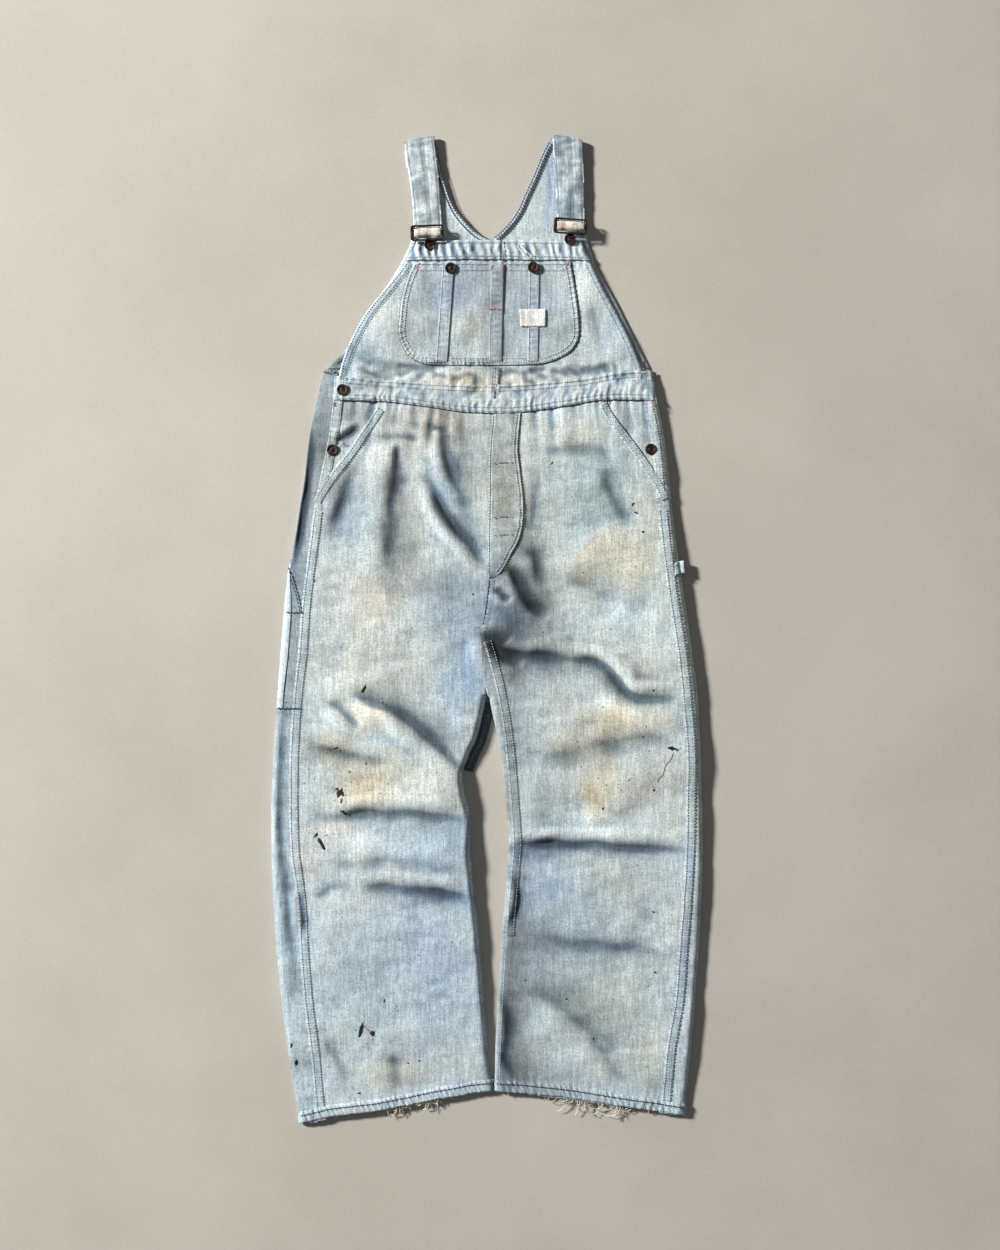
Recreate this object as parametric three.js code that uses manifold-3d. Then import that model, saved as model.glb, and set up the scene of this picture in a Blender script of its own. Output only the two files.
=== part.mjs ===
// Denim bib dungarees lying face up on a flat surface, with the bib towards +Y and the hems towards -Y.
// Millimetres, +Z up. The origin is the middle of the garment's outline, on the surface it lies on.
// Left and right are as seen from above: left is -X. The back panels lie flat on the surface, the fronts
// lie on the backs, and each back leg wraps up round the outer edge as far as the outseam.
import * as THREE from "three";
import { mergeVertices } from "three/addons/utils/BufferGeometryUtils.js";
import Module from "manifold-3d";

const wasm = await Module();
wasm.setup();

// ---------------------------------------------------------------- driving dimensions
const CLOTH = 1.2; // one layer of denim
const GAP = 0.3; // between layers
const SEAM_GAP = 0.6; // between two pieces that meet at a seam
const FOLD_EDGE = 2.8; // height of the cloth's upper face right at a folded edge
const FOLD_ROLL = 10; // how far in from a folded edge the cloth reaches its full height
const HEM_DEPTH = 14;
const SEAM_WIDTH = 12; // a felled seam
const WELT_WIDTH = 10.5; // the hem of a slanted pocket
const BIB_SIDE_HEM = 10;
const STRAP_WIDTH = 34.5; // at the buckle, where it is squeezed
const SHOULDER_WIDTH = 38.5;
const STRAP_PLY = 2; // a strap is two layers of denim
const BUTTON_RADIUS = 7.3;
const BUTTON_HEIGHT = 2.2;
const BUCKLE_WIDTH = 43;
const BUCKLE_DEPTH = 21;
const BUCKLE_WIRE = 2.6;
const BUCKLE_LEVEL = 11.5; // height of the middle of the buckle's frame
const NECK_BINDING = 9;

// Height of the upper face along the body, from hems to waist, away from edges and creases.
const BODY_HEIGHTS = [
  [-640, 5.6],
  [-590, 6.2],
  [-530, 8.2],
  [-400, 10],
  [-150, 11],
  [60, 10.5],
  [250, 8.5],
  [330, 7.2],
];
const BIB_HEIGHT = 6;
const BIB_EDGE = 4.3;
const LOWEST_FRONT = 5.4; // the fronts never dip below this, so that they clear the backs and hip pieces
const HIP_DROP = 2.3; // how far a hip piece's face lies below the front leg's

// Rows of the leg panels, as heights at the middle of the leg. They are closer together across creases.
const LEFT_ROWS = [
  -617.5, -603, -565, -520, -475, -430, -390, -365, -350, -338, -326, -305, -280, -262, -250, -240, -229, -215,
  -198, -183, -168, -153, -138, -123, -108, -90, -65, -35, -5, 25, 60, 95, 130, 165, 200, 235, 270, 304,
];
const RIGHT_ROWS = [
  -613, -598, -575, -550, -525, -500, -475, -450, -430, -418, -406, -390, -365, -330, -305, -293, -281, -269, -255,
  -225, -190, -155, -120, -95, -80, -66, -52, -40, -28, -14, 5, 28, 50, 80, 115, 150, 185, 220, 250, 278, 304,
];
const LEG_COLUMNS = 13;
const BIB_ROWS = 8;

// ---------------------------------------------------------------- outlines, from the hems up
const OUTER_LEFT = [
  [-243, -642], [-252, -587], [-260, -535], [-268, -470], [-275, -392], [-279, -314], [-280, -236],
  [-277, -158], [-272, -80], [-266, -2], [-260, 63], [-248, 128], [-238, 193], [-229, 258], [-220, 304], [-211, 336],
];
const INNER_LEFT = [
  [8, -599], [1, -548], [-4, -483], [-10, -405], [-17, -340], [-21, -288], [-21, -245], [-29, -212],
  [-31, -187], [-23, -163], [-12, -138], [-1, -90],
];
const INNER_RIGHT = [
  [10, -599], [11, -548], [14, -483], [18, -418], [22, -366], [27, -307], [29, -275], [25, -229],
  [20, -177], [13, -136], [2, -90],
];
const OUTER_RIGHT = [
  [256, -631], [262, -574], [267, -522], [272, -457], [277, -379], [280, -301], [279, -223], [277, -145],
  [273, -80], [266, -28], [257, 37], [249, 89], [242, 141], [237, 193], [231, 245], [222, 291], [212, 336],
];
const OUTSEAM_LEFT = [
  [-221, -638], [-229, -548], [-237, -483], [-242, -418], [-246, -353], [-254, -288], [-256, -223], [-255, -158],
  [-251, -93], [-244, -28], [-239, 37], [-231, 102], [-222, 167], [-214, 206], [-209, 232], [-204, 258],
  [-200, 297], [-194, 336],
];
const OUTSEAM_RIGHT = [
  [237, -629], [244, -548], [255, -483], [260, -418], [265, -353], [269, -288], [270, -223], [270, -158],
  [265, -93], [258, -28], [248, 37], [241, 89], [235, 141], [230, 193], [225, 245], [216, 291], [207, 336],
];
const CROTCH = [-9, -5];
const CENTRE_FRONT = [CROTCH, [-4, 11], [0, 37], [3, 66], [4, 102], [5, 167], [6, 232], [10, 280], [10, 336]];
const LEG_EDGE_AT_CROTCH = [[-3, -75], [-8, -40], CROTCH]; // where the left leg's edge lies against the right
const INSEAM_RIGHT = [
  [14, -599], [15, -548], [18, -483], [22, -418], [26, -366], [31, -307], [33, -275], [30, -229], [26, -177],
  [20, -125], [12, -80], [2, -41], [-5, -18],
];
const BIB_LEFT = [[-195, 312], [-188, 344], [-176, 375], [-157, 409], [-133, 439], [-108, 471], [-90, 501]];
const BIB_RIGHT = [[209, 312], [199, 341], [187, 371], [169, 408], [150, 443], [134, 476], [121, 501]];
const BIB_CENTRE = [[10, 297], [12, 345], [15, 420], [18, 503]];
const ARMHOLE_LEFT = [[-211, 336.3], [-178, 369], [-152, 414], [-120, 460], [-98, 505], [-96, 544], [-99, 583], [-106, 627]];
const ARMHOLE_RIGHT = [[212, 336.3], [192, 375], [166, 427], [139, 476], [126, 531], [124, 583], [122, 631]];
const NECK_LEFT = [[5, 505], [-12, 514], [-29, 530], [-42, 549], [-52, 574], [-60, 603], [-67, 633]];
const NECK_RIGHT = [[5, 505], [21, 519], [38, 540], [49, 564], [60, 588], [72, 617], [84, 638]];
const SLANT_LEFT = [[-142, 287], [-159, 261], [-178, 232], [-198, 206], [-214, 184], [-224, 166]];
const SLANT_RIGHT = [[155, 294], [166, 274], [186, 248], [205, 222], [222, 196], [236, 170]];

// ---------------------------------------------------------------- creases and swells of the front
// A crease is a soft trough along its points: half width, depth, then the points.
const CREASES = [
  // left leg
  [11, 4.5, [-113, 245], [-116, 167], [-126, 89], [-130, 60]],
  [10, 5, [-74, 190], [-61, 161], [-42, 135], [-22, 109], [-6, 83]],
  [9, 3, [-53, 255], [-46, 219], [-35, 180], [-25, 157]],
  [13, 3, [-155, 200], [-178, 141], [-196, 102]],
  [13, 6.5, [-176, -80], [-113, -109], [-74, -138], [-51, -160], [-33, -172]],
  [10, 3, [-237, -148], [-185, -167], [-126, -177]],
  [11, 5, [-204, -239], [-113, -242], [-22, -246]],
  [11, 4, [-165, -337], [-87, -340], [-20, -348]],
  [10, 3.5, [-222, 232], [-231, 167], [-242, 102], [-252, 40]],
  [8, 3.5, [-259, -93], [-263, -158], [-265, -223], [-263, -288], [-257, -353], [-252, -418], [-247, -483]],
  // right leg
  [14, 5, [25, 53], [40, 34], [66, 14]],
  [10, 2.5, [59, 105], [69, 76], [77, 50]],
  [12, 5.5, [5, -10], [17, -28], [69, -34], [134, -41], [163, -53], [178, -77], [205, -89], [240, -90]],
  [12, 5, [30, -281], [95, -281], [173, -284], [256, -288]],
  [15, 3, [40, -405], [160, -410], [245, -418]],
  [20, 4, [53, -463], [121, -509], [163, -561], [190, -585]],
  [11, 3, [69, 229], [114, 235], [147, 229], [163, 213]],
  [12, 3, [152, 213], [166, 167], [189, 128]],
];
// A swell is a soft mound: x, y, radius, height.
const SWELLS = [
  [-60, -205, 42, 6],
  [-50, -292, 34, 3.5],
  [-150, -30, 70, 2.5],
  [-75, 60, 40, 3],
  [110, -140, 75, 3],
  [110, -345, 50, 2.5],
  [95, 60, 50, 2],
  [60, -5, 30, 2],
];

// ---------------------------------------------------------------- curves and heights
const point = ([x, y]) => new THREE.Vector2(x, y);
const mix = (a, b, t) => a + (b - a) * t;

// A smooth line through the points, as a list of close points.
function smooth(points, steps = 90) {
  return new THREE.SplineCurve(points.map(point)).getPoints(steps);
}

// x of a line that climbs in y, at a given y.
function xAt(line, y) {
  let i = 1;
  while (i < line.length - 1 && line[i].y < y) i++;
  const a = line[i - 1];
  const b = line[i];
  return a.x + ((b.x - a.x) * (y - a.y)) / (b.y - a.y);
}

function tableAt(table, y) {
  const line = table.map(([at, value]) => new THREE.Vector2(value, at));
  return xAt(line, THREE.MathUtils.clamp(y, table[0][0], table[table.length - 1][0]));
}

// Distance from (x, y) to a line of points, and how far along it the nearest place is, 0 to 1.
function nearest(line, x, y) {
  let best = Infinity;
  let along = 0;
  for (let i = 1; i < line.length; i++) {
    const a = line[i - 1];
    const b = line[i];
    const dx = b.x - a.x;
    const dy = b.y - a.y;
    const t = THREE.MathUtils.clamp(((x - a.x) * dx + (y - a.y) * dy) / (dx * dx + dy * dy), 0, 1);
    const d = Math.hypot(x - a.x - t * dx, y - a.y - t * dy);
    if (d < best) {
      best = d;
      along = (i - 1 + t) / (line.length - 1);
    }
  }
  return [best, along];
}

const outerLeft = smooth(OUTER_LEFT);
const innerLeft = smooth(INNER_LEFT);
const innerRight = smooth(INNER_RIGHT);
const outerRight = smooth(OUTER_RIGHT);
const outseamLeft = smooth(OUTSEAM_LEFT);
const outseamRight = smooth(OUTSEAM_RIGHT);
const legEdgeAtCrotch = smooth(LEG_EDGE_AT_CROTCH, 8);
const centreFront = smooth(CENTRE_FRONT, 40);
const centreLeft = [...innerLeft, ...legEdgeAtCrotch, ...centreFront.slice(1)];
const inseamRight = [...smooth(INSEAM_RIGHT, 60), centreFront[0]];
const centreRight = [...inseamRight, ...centreFront.slice(1)];
const wrapEdgeRight = [...innerRight, ...legEdgeAtCrotch, ...centreFront.slice(1)];
const bibLeft = smooth(BIB_LEFT, 30);
const bibRight = smooth(BIB_RIGHT, 30);
const bibCentre = smooth(BIB_CENTRE, 30);
const bibEdges = [bibLeft, bibRight, [bibLeft[30], bibRight[30]]];
const foldedEdges = [outerLeft, innerLeft, innerRight, outerRight];
const creaseLines = CREASES.map(([width, depth, ...points]) => [width, depth, smooth(points, 12)]);

// Quarter-ellipse rise from 0 at an edge to 1 at the given distance in.
function rise(distance, reach) {
  const t = 1 - Math.min(distance / reach, 1);
  return Math.sqrt(1 - t * t);
}

// Upper face of the legs and hips.
function legTop(x, y) {
  const inside = Math.min(...foldedEdges.map((edge) => nearest(edge, x, y)[0]));
  let full = tableAt(BODY_HEIGHTS, y);
  for (const [cx, cy, radius, height] of SWELLS) {
    full += height * Math.exp(-((x - cx) ** 2 + (y - cy) ** 2) / radius ** 2);
  }
  for (const [width, depth, line] of creaseLines) {
    const [away, along] = nearest(line, x, y);
    if (away > 3 * width) continue;
    const ends = THREE.MathUtils.smoothstep(Math.min(along, 1 - along), 0, 0.2);
    full -= depth * Math.exp(-((away / width) ** 2)) * mix(0.35, 1, ends);
  }
  full = Math.max(full, LOWEST_FRONT);
  return mix(FOLD_EDGE, full, rise(inside, FOLD_ROLL));
}

// Upper face of the bib, which lies on the back bib with open edges.
function bibTop(x, y) {
  const inside = Math.min(...bibEdges.map((edge) => nearest(edge, x, y)[0]));
  return mix(BIB_EDGE, BIB_HEIGHT, rise(inside, 25));
}

function bodyTop(x, y) {
  return mix(legTop(x, y), bibTop(x, y), THREE.MathUtils.smoothstep(y, 290, 330));
}

// ---------------------------------------------------------------- solids
// A closed solid between two grids of points with the same rows and columns.
function solidBetween(outer, inner) {
  const rows = outer.length;
  const columns = outer[0].length;
  const positions = [outer, inner].flat(3);
  const at = (layer, i, j) => layer * rows * columns + i * columns + j;
  const faces = [];
  const quad = (a, b, c, d) => faces.push(a, b, c, a, c, d);
  const lastColumn = columns - 1;
  const lastRow = rows - 1;
  for (let i = 0; i < lastRow; i++) {
    for (let j = 0; j < lastColumn; j++) {
      quad(at(0, i, j), at(0, i, j + 1), at(0, i + 1, j + 1), at(0, i + 1, j));
      quad(at(1, i, j), at(1, i + 1, j), at(1, i + 1, j + 1), at(1, i, j + 1));
    }
    quad(at(0, i, 0), at(0, i + 1, 0), at(1, i + 1, 0), at(1, i, 0));
    quad(at(0, i, lastColumn), at(1, i, lastColumn), at(1, i + 1, lastColumn), at(0, i + 1, lastColumn));
  }
  for (let j = 0; j < lastColumn; j++) {
    quad(at(0, 0, j), at(1, 0, j), at(1, 0, j + 1), at(0, 0, j + 1));
    quad(at(0, lastRow, j), at(0, lastRow, j + 1), at(1, lastRow, j + 1), at(1, lastRow, j));
  }
  return manifoldOf(positions, faces);
}

// A manifold solid facing out, whichever way round its faces were listed.
function manifoldOf(positions, faces) {
  const build = (triangles) =>
    new wasm.Manifold(
      new wasm.Mesh({
        numProp: 3,
        vertProperties: new Float32Array(positions),
        triVerts: new Uint32Array(triangles),
      }),
    );
  const solid = build(faces);
  return solid.volume() > 0 ? solid : build([...faces].reverse());
}

// The solid of a three.js geometry.
function solidOf(geometry) {
  const bare = geometry.clone();
  bare.deleteAttribute("normal");
  bare.deleteAttribute("uv");
  const merged = mergeVertices(bare, 1e-4);
  return manifoldOf(merged.attributes.position.array, merged.index.array);
}

function geometryOf(solid) {
  const mesh = solid.getMesh();
  const positions = new Float32Array(mesh.numVert * 3);
  for (let i = 0; i < mesh.numVert; i++) {
    positions.set(mesh.vertProperties.subarray(i * mesh.numProp, i * mesh.numProp + 3), i * 3);
  }
  const geometry = new THREE.BufferGeometry();
  geometry.setAttribute("position", new THREE.BufferAttribute(positions, 3));
  geometry.setIndex(new THREE.BufferAttribute(new Uint32Array(mesh.triVerts), 1));
  geometry.computeVertexNormals();
  return geometry;
}

// An outline as an upright solid between two heights.
function prism(outline, low = -5, high = 60) {
  const shape = new THREE.Shape(outline.map((p) => (p.isVector2 ? p : point(p))));
  const geometry = new THREE.ExtrudeGeometry(shape, { depth: high - low, bevelEnabled: false });
  return solidOf(geometry.translate(0, 0, low));
}

// The outline of a band along a line, to one side of it. A positive width is to the left, going along.
function band(line, width, inset = 0) {
  const side = (offset) =>
    line.map((p, i) => {
      const before = line[Math.max(i - 1, 0)];
      const after = line[Math.min(i + 1, line.length - 1)];
      const along = after.clone().sub(before).normalize();
      return new THREE.Vector2(p.x - along.y * offset, p.y + along.x * offset);
    });
  return [...side(inset), ...side(width).reverse()];
}

// The part of a line between two heights.
const between = (line, low, high) => line.filter((p) => p.y >= low && p.y <= high);

// Rows of x and y between two lines that climb in y. Each row runs from a height on the left line to a
// height on the right one.
function rowsBetween(left, right, ends, shares) {
  return ends.map(([yLeft, yRight]) => {
    const xLeft = xAt(left, yLeft);
    const xRight = xAt(right, yRight);
    return shares.map((t) => [mix(xLeft, xRight, t), mix(yLeft, yRight, t)]);
  });
}

const evenShares = (count) => Array.from({ length: count + 1 }, (_, k) => k / count);

// How much taller than thick the cloth is, measured upright, where it slopes.
function slant(x, y) {
  const step = 2;
  const across = bodyTop(x + step, y) - bodyTop(x - step, y);
  const along = bodyTop(x, y + step) - bodyTop(x, y - step);
  return Math.min(Math.hypot(1, Math.hypot(across, along) / (2 * step)), 1.9);
}

// A panel of cloth over the rows, with its upper face at the given depth below the body's upper face.
// It stops short of its neighbours by half a seam gap at both ends of each row.
function panel(rows, depth = 0) {
  const trim = (j, row) => (j === 0 ? SEAM_GAP / 2 : j === row.length - 1 ? -SEAM_GAP / 2 : 0);
  const lift = (height) => rows.map((row) => row.map(([x, y], j) => [x + trim(j, row), y, height(x, y)]));
  const upper = lift((x, y) => bodyTop(x, y) - depth);
  const lower = lift((x, y) => Math.max(bodyTop(x, y) - depth - CLOTH * slant(x, y), CLOTH + GAP));
  return solidBetween(upper, lower);
}

// A layer of cloth lying a given height above the body's upper face, over the same rows.
function cover(rows, above, thickness = CLOTH) {
  const lift = (height) => rows.map((row) => row.map(([x, y]) => [x, y, height(x, y)]));
  return solidBetween(
    lift((x, y) => bodyTop(x, y) + above + thickness * slant(x, y)),
    lift((x, y) => bodyTop(x, y) + above),
  );
}

// ---------------------------------------------------------------- rows of the main panels
const HEM_MIDDLE = { left: -617.5, right: -613 };
const WAIST_MIDDLE = 304;
const legEnds = (rows, hem, waist) =>
  rows.map((y) => {
    const v = (y - rows[0]) / (WAIST_MIDDLE - rows[0]);
    return [mix(hem[0], waist[0], v), mix(hem[1], waist[1], v)];
  });
const legRows = {
  left: rowsBetween(
    outseamLeft, centreLeft, legEnds(LEFT_ROWS, [-636, -599], [311, 297]), evenShares(LEG_COLUMNS),
  ),
  right: rowsBetween(
    centreRight, outseamRight, legEnds(RIGHT_ROWS, [-599, -627], [297, 311]), evenShares(LEG_COLUMNS),
  ),
};
const bibEnds = (left, right) =>
  evenShares(BIB_ROWS).map((v) => [mix(left[0], left[1], v), mix(right[0], right[1], v)]);
const bibRows = {
  left: rowsBetween(bibLeft, bibCentre, bibEnds([311 + GAP, 501], [297 + GAP, 503]), evenShares(LEG_COLUMNS)),
  right: rowsBetween(bibCentre, bibRight, bibEnds([297 + GAP, 503], [311 + GAP, 501]), evenShares(LEG_COLUMNS)),
};
const bodyRows = {
  left: [...legRows.left, ...bibRows.left.slice(1)],
  right: [...legRows.right, ...bibRows.right.slice(1)],
};

// A back leg's own rows: every second row of the front, then up to the back's waist seam.
function backEnds(frontRows, outerFirst) {
  const last = frontRows.length - 1;
  const middle = (row) => (row[0][1] + row[row.length - 1][1]) / 2;
  const isFar = (i) => middle(frontRows[i + 1]) - middle(frontRows[i - 1]) > 60;
  const rows = frontRows.filter((_, i) => i % 2 === 0 || i === last || isFar(i));
  const ends = rows.map((row) => {
    const start = row[0][1];
    const end = row[row.length - 1][1];
    return outerFirst ? [start, end] : [end, start];
  });
  return [...ends, [336, 336]];
}

// Places along a wrapped edge, from the fold to the seam.
function wrapPlaces(fold, seam) {
  const width = Math.abs(seam - fold);
  const inwards = Math.sign(seam - fold);
  return [fold + inwards, mix(fold, seam, Math.max(0.35, 1.5 / width)), mix(fold, seam, 0.68), seam];
}

// The rows of a wrapped edge, from the fold to the seam, with the same places as the back leg's.
function wrapRows(ends, outer, outseam) {
  return ends.map(([yOut]) => {
    const seam = xAt(outseam, yOut);
    return wrapPlaces(xAt(outer, yOut), seam).map((x) => [x, yOut]);
  });
}

// A path of [x, z, y] round a section of the garment, moved inwards by the cloth's thickness.
function inwards(path, thickness) {
  return path.map(([x, z, y], i) => {
    const before = path[Math.max(i - 1, 0)];
    const after = path[Math.min(i + 1, path.length - 1)];
    const dx = after[0] - before[0];
    const dz = after[1] - before[1];
    const length = Math.hypot(dx, dz);
    const isEnd = i === 0 || i === path.length - 1;
    if (isEnd) return [x, z - Math.sign(dx) * thickness, y];
    return [x + (dz / length) * thickness, z - (dx / length) * thickness, y];
  });
}

// One section of a back leg: flat on the surface, then up round the outer edge and over to the outseam.
// Where there is an inseam on the front, the section also turns up round the inner edge to that seam.
function backSection(side, [yOut, yIn], { outer, outseam, inner, inseam }) {
  const xOut = xAt(outer, yOut);
  const xIn = xAt(inner, yIn) + side * SEAM_GAP;
  const seam = xAt(outseam, yOut) + (side * SEAM_GAP) / 2;
  const path = [];
  if (inseam) {
    const places = wrapPlaces(xIn, xAt(inseam, yIn) - SEAM_GAP / 2).reverse();
    for (const x of places) path.push([x, bodyTop(x, yIn), yIn]);
    path.push([xIn, FOLD_EDGE - 0.6, yIn], [xIn + 1, 0, yIn]);
  } else {
    path.push([xIn, 0, yIn]);
  }
  path.push([mix(xIn, xOut, 0.5), 0, mix(yIn, yOut, 0.5)]);
  path.push([xOut - side, 0, yOut], [xOut, FOLD_EDGE - 0.6, yOut]);
  for (const x of wrapPlaces(xOut, seam)) path.push([x, bodyTop(x, yOut), yOut]);
  return path;
}

function backPiece(side, ends, lines) {
  const swap = (path) => path.map(([x, z, y]) => [x, y, z]);
  const sections = ends.map((end) => backSection(side, end, lines));
  return solidBetween(
    sections.map(swap),
    sections.map((path) => swap(inwards(path, -side * CLOTH))),
  );
}

// ---------------------------------------------------------------- the pieces
const meshes = [];
const PALE_DENIM = 0xb4c3ca;
const STAINED_DENIM = 0xc9cabf;
const BROWN_METAL = 0x4a3028;

function add(name, solid, colour = PALE_DENIM, metalness = 0) {
  const material = new THREE.MeshStandardMaterial({ color: colour, roughness: metalness ? 0.6 : 0.95, metalness });
  const mesh = new THREE.Mesh(geometryOf(solid), material);
  mesh.name = name;
  meshes.push(mesh);
}

// The part of a cover inside an outline.
const cut = (layer, outline) => layer.intersect(prism(outline)).simplify(0.08);
const bothSides = (make) => make(bodyRows.left).add(make(bodyRows.right));
const onPanels = bothSides((rows) => cover(rows, GAP));
const onPocket = bothSides((rows) => cover(rows, 2 * GAP + CLOTH * 1.05));
const onLeg = { left: cover(bodyRows.left, GAP), right: cover(bodyRows.right, GAP) };
const onHip = {
  left: cover(legRows.left, GAP - HIP_DROP),
  right: cover(legRows.right, GAP - HIP_DROP),
};

// Fronts, backs and hips.
const corner = (line, side) => [...line, [side * 300, line[5][1]], [side * 300, 340], [line[0][0], 340]];

function addFrontLeg(side, name, slantLine, sign) {
  add(name, panel(legRows[side]).subtract(prism(corner(slantLine, sign))).simplify(0.04));
}

function addHip(side, name, slantLine, sign) {
  const hidden = slantLine.map(([x, y]) => [x - sign * 20, y - 12]);
  const reach = panel(legRows[side], HIP_DROP);
  add(name, reach.intersect(prism(corner(hidden, sign))).simplify(0.01), STAINED_DENIM);
}

const backEndsLeft = backEnds(legRows.left, true);
const backEndsRight = backEnds(legRows.right, false);

function addBackLegs() {
  const left = { outer: outerLeft, outseam: outseamLeft, inner: centreLeft };
  add("back_leg_left", backPiece(-1, backEndsLeft, left));
  const isLower = ([, yIn]) => yIn < -20;
  const lower = backEndsRight.filter(isLower);
  const upper = [lower[lower.length - 1], ...backEndsRight.filter((end) => !isLower(end))];
  const right = { outer: outerRight, outseam: outseamRight, inner: wrapEdgeRight };
  const turned = backPiece(1, lower, { ...right, inseam: inseamRight });
  add("back_leg_right", turned.add(backPiece(1, upper, right)));
}

addFrontLeg("left", "front_leg_left", SLANT_LEFT, -1);
addFrontLeg("right", "front_leg_right", SLANT_RIGHT, 1);
addBackLegs();
addHip("left", "hip_left", SLANT_LEFT, -1);
addHip("right", "hip_right", SLANT_RIGHT, 1);

// Bib, back bib and neck.
add("bib_left", panel(bibRows.left).simplify(0.03));
add("bib_right", panel(bibRows.right).simplify(0.03));
const neckLeft = smooth(NECK_LEFT, 10);
const neckRight = smooth(NECK_RIGHT, 10);
const armholeLeft = smooth(ARMHOLE_LEFT, 12);
const armholeRight = smooth(ARMHOLE_RIGHT, 12);
add(
  "back_bib",
  prism([...armholeLeft, ...neckLeft.slice(1).reverse(), ...neckRight, ...[...armholeRight].reverse()], 0, CLOTH),
);

// Bindings lie on the inner face of the back bib, from the bib's top edge up to the shoulder.
function addBinding(name, neck, side) {
  const seen = between(neck, 508, 600);
  add(name, prism(band(seen, side * NECK_BINDING, side * 0.5), CLOTH + GAP, 2 * CLOTH + GAP));
}
addBinding("neck_binding_left", neckLeft, 1);
addBinding("neck_binding_right", neckRight, -1);

// Waistband, fly and seams on the legs.
const BAND_LEFT = [
  [-202, 296], [-133, 294], [-74, 288], [10 - GAP / 2, 280], [10 - GAP / 2, 315], [-48, 316], [-113, 320], [-202, 327],
];
const BAND_RIGHT = [
  [10 + GAP / 2, 280], [95, 287], [153, 296], [224, 297], [220, 333], [173, 332], [121, 323], [56, 317],
  [10 + GAP / 2, 315],
];
add("waistband_left", cut(onLeg.left, BAND_LEFT));
add("waistband_right", cut(onLeg.right, BAND_RIGHT));

const FLY = [
  [6.5, 232], [5.2, 102], [3.5, 68], [10, 68], [18, 74], [32, 97], [42, 116], [47, 141], [47, 167], [43, 206],
  [40, 232], [42, 258], [44, 282], [10.4, 279.6],
];
add("fly", cut(onPanels, FLY));
add("crotch_seam", cut(onPanels, band(between(centreFront, 2, 67), -9)));

const seamBand = (line, low, high, side) => band(between(line, low, high), side * SEAM_WIDTH, side * 0.9);
add("outseam_left", cut(onLeg.left, seamBand(smooth(OUTSEAM_LEFT, 34), -620, 160, -1)));
add("outseam_right", cut(onLeg.right, seamBand(smooth(OUTSEAM_RIGHT, 34), -611, 160, 1)));
add("inseam_right", cut(onLeg.right, seamBand(smooth(INSEAM_RIGHT, 30), -330, -18, -1)));

function addWelt(side, name, slantLine, sign) {
  const line = smooth(slantLine.slice(0, 6), 10);
  const outline = band(line.filter((p) => p.y < 276 && p.y > 174), sign * -WELT_WIDTH, sign * -0.1);
  add(name, cut(onLeg[side], outline));
}
addWelt("left", "pocket_welt_left", SLANT_LEFT, -1);
addWelt("right", "pocket_welt_right", SLANT_RIGHT, 1);

add("side_placket_left", cut(onHip.left, band(between(outseamLeft, 204, 290), -13, -1.6)));
add("side_placket_right", cut(onHip.right, band(between(outseamRight, 204, 288), 12, 1.6)));

// Hems: turned-up bands round the fronts and over the wrapped edges.
const wraps = {
  left: cover(wrapRows(backEndsLeft, outerLeft, outseamLeft), GAP),
  right: cover(wrapRows(backEndsRight, outerRight, outseamRight), GAP),
};
const hemLine = { left: (x) => -636 + ((x + 221) * 37) / 229, right: (x) => -599 - ((x - 14) * 28) / 223 };

function hemOutline(side, from, to) {
  const line = hemLine[side];
  return [[from, line(from) - 20], [to, line(to) - 20], [to, line(to) + HEM_DEPTH], [from, line(from) + HEM_DEPTH]];
}
add("hem_front_left", cut(onLeg.left, hemOutline("left", -225, 8)));
add("hem_front_right", cut(onLeg.right, hemOutline("right", 14, 241)));
add("hem_back_left", cut(wraps.left, hemOutline("left", -260, -225)));
add("hem_back_right", cut(wraps.right, hemOutline("right", 241, 270)));

// Bib top hem, side hems and centre seam.
const TOP_HEM = [[-125, 478], [150, 478], [150, 520], [-125, 520]];
add("bib_top_hem", cut(onPanels, TOP_HEM));
const sideHem = (line, side) => band(between(line, 342, 477), side * BIB_SIDE_HEM, side * 0.1);
add("bib_side_hem_left", cut(onPanels, sideHem(bibLeft, -1)));
add("bib_side_hem_right", cut(onPanels, sideHem(bibRight, 1)));
add("bib_centre_seam", cut(onPanels, band(between(bibCentre, 318, 339), 5.5, -5.5)));

// Bib pocket with its sewn strips, label, snaps.
const POCKET = [
  [-94, 474], [-103, 453], [-110, 427], [-113, 401], [-114, 382], [-109, 366], [-100, 353], [-84, 344], [-61, 341],
  [43, 343], [75, 345], [95, 352], [110, 362], [119, 378], [119, 401], [116, 427], [112, 453], [108, 474],
];
add("bib_pocket", cut(onPanels, POCKET));
const strip = (from, to) => [[from[0], 347], [from[1], 347], [to[1], 472], [to[0], 472]];
add("pocket_strip_left", cut(onPocket, strip([-66, -51], [-57, -42])));
add("pocket_strip_middle", cut(onPocket, strip([3, 19], [5, 22])));
add("pocket_strip_right", cut(onPocket, strip([53, 65], [55, 67])));
const onStrip = cover(bodyRows.right, 3 * GAP + 2 * CLOTH * 1.05, 1);
add("label", cut(onStrip, [[43, 391], [77, 392], [77, 413], [43, 414]]), 0xdad8d0);

// Rule pocket and hammer loop, on the wrapped outer edges.
const onWrap = (outline) => cut(wraps.left, outline);
add("rule_pocket_lower", onWrap([[-290, -103], [-240, -103], [-240, 21], [-290, 21]]));
add("rule_pocket_upper", onWrap([[-290, 21.4], [-236, 21.4], [-236, 24], [-290, 100]]));
add("hammer_loop", cut(wraps.right, [[235, 66], [270, 66], [270, 93], [235, 93]]));

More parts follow.
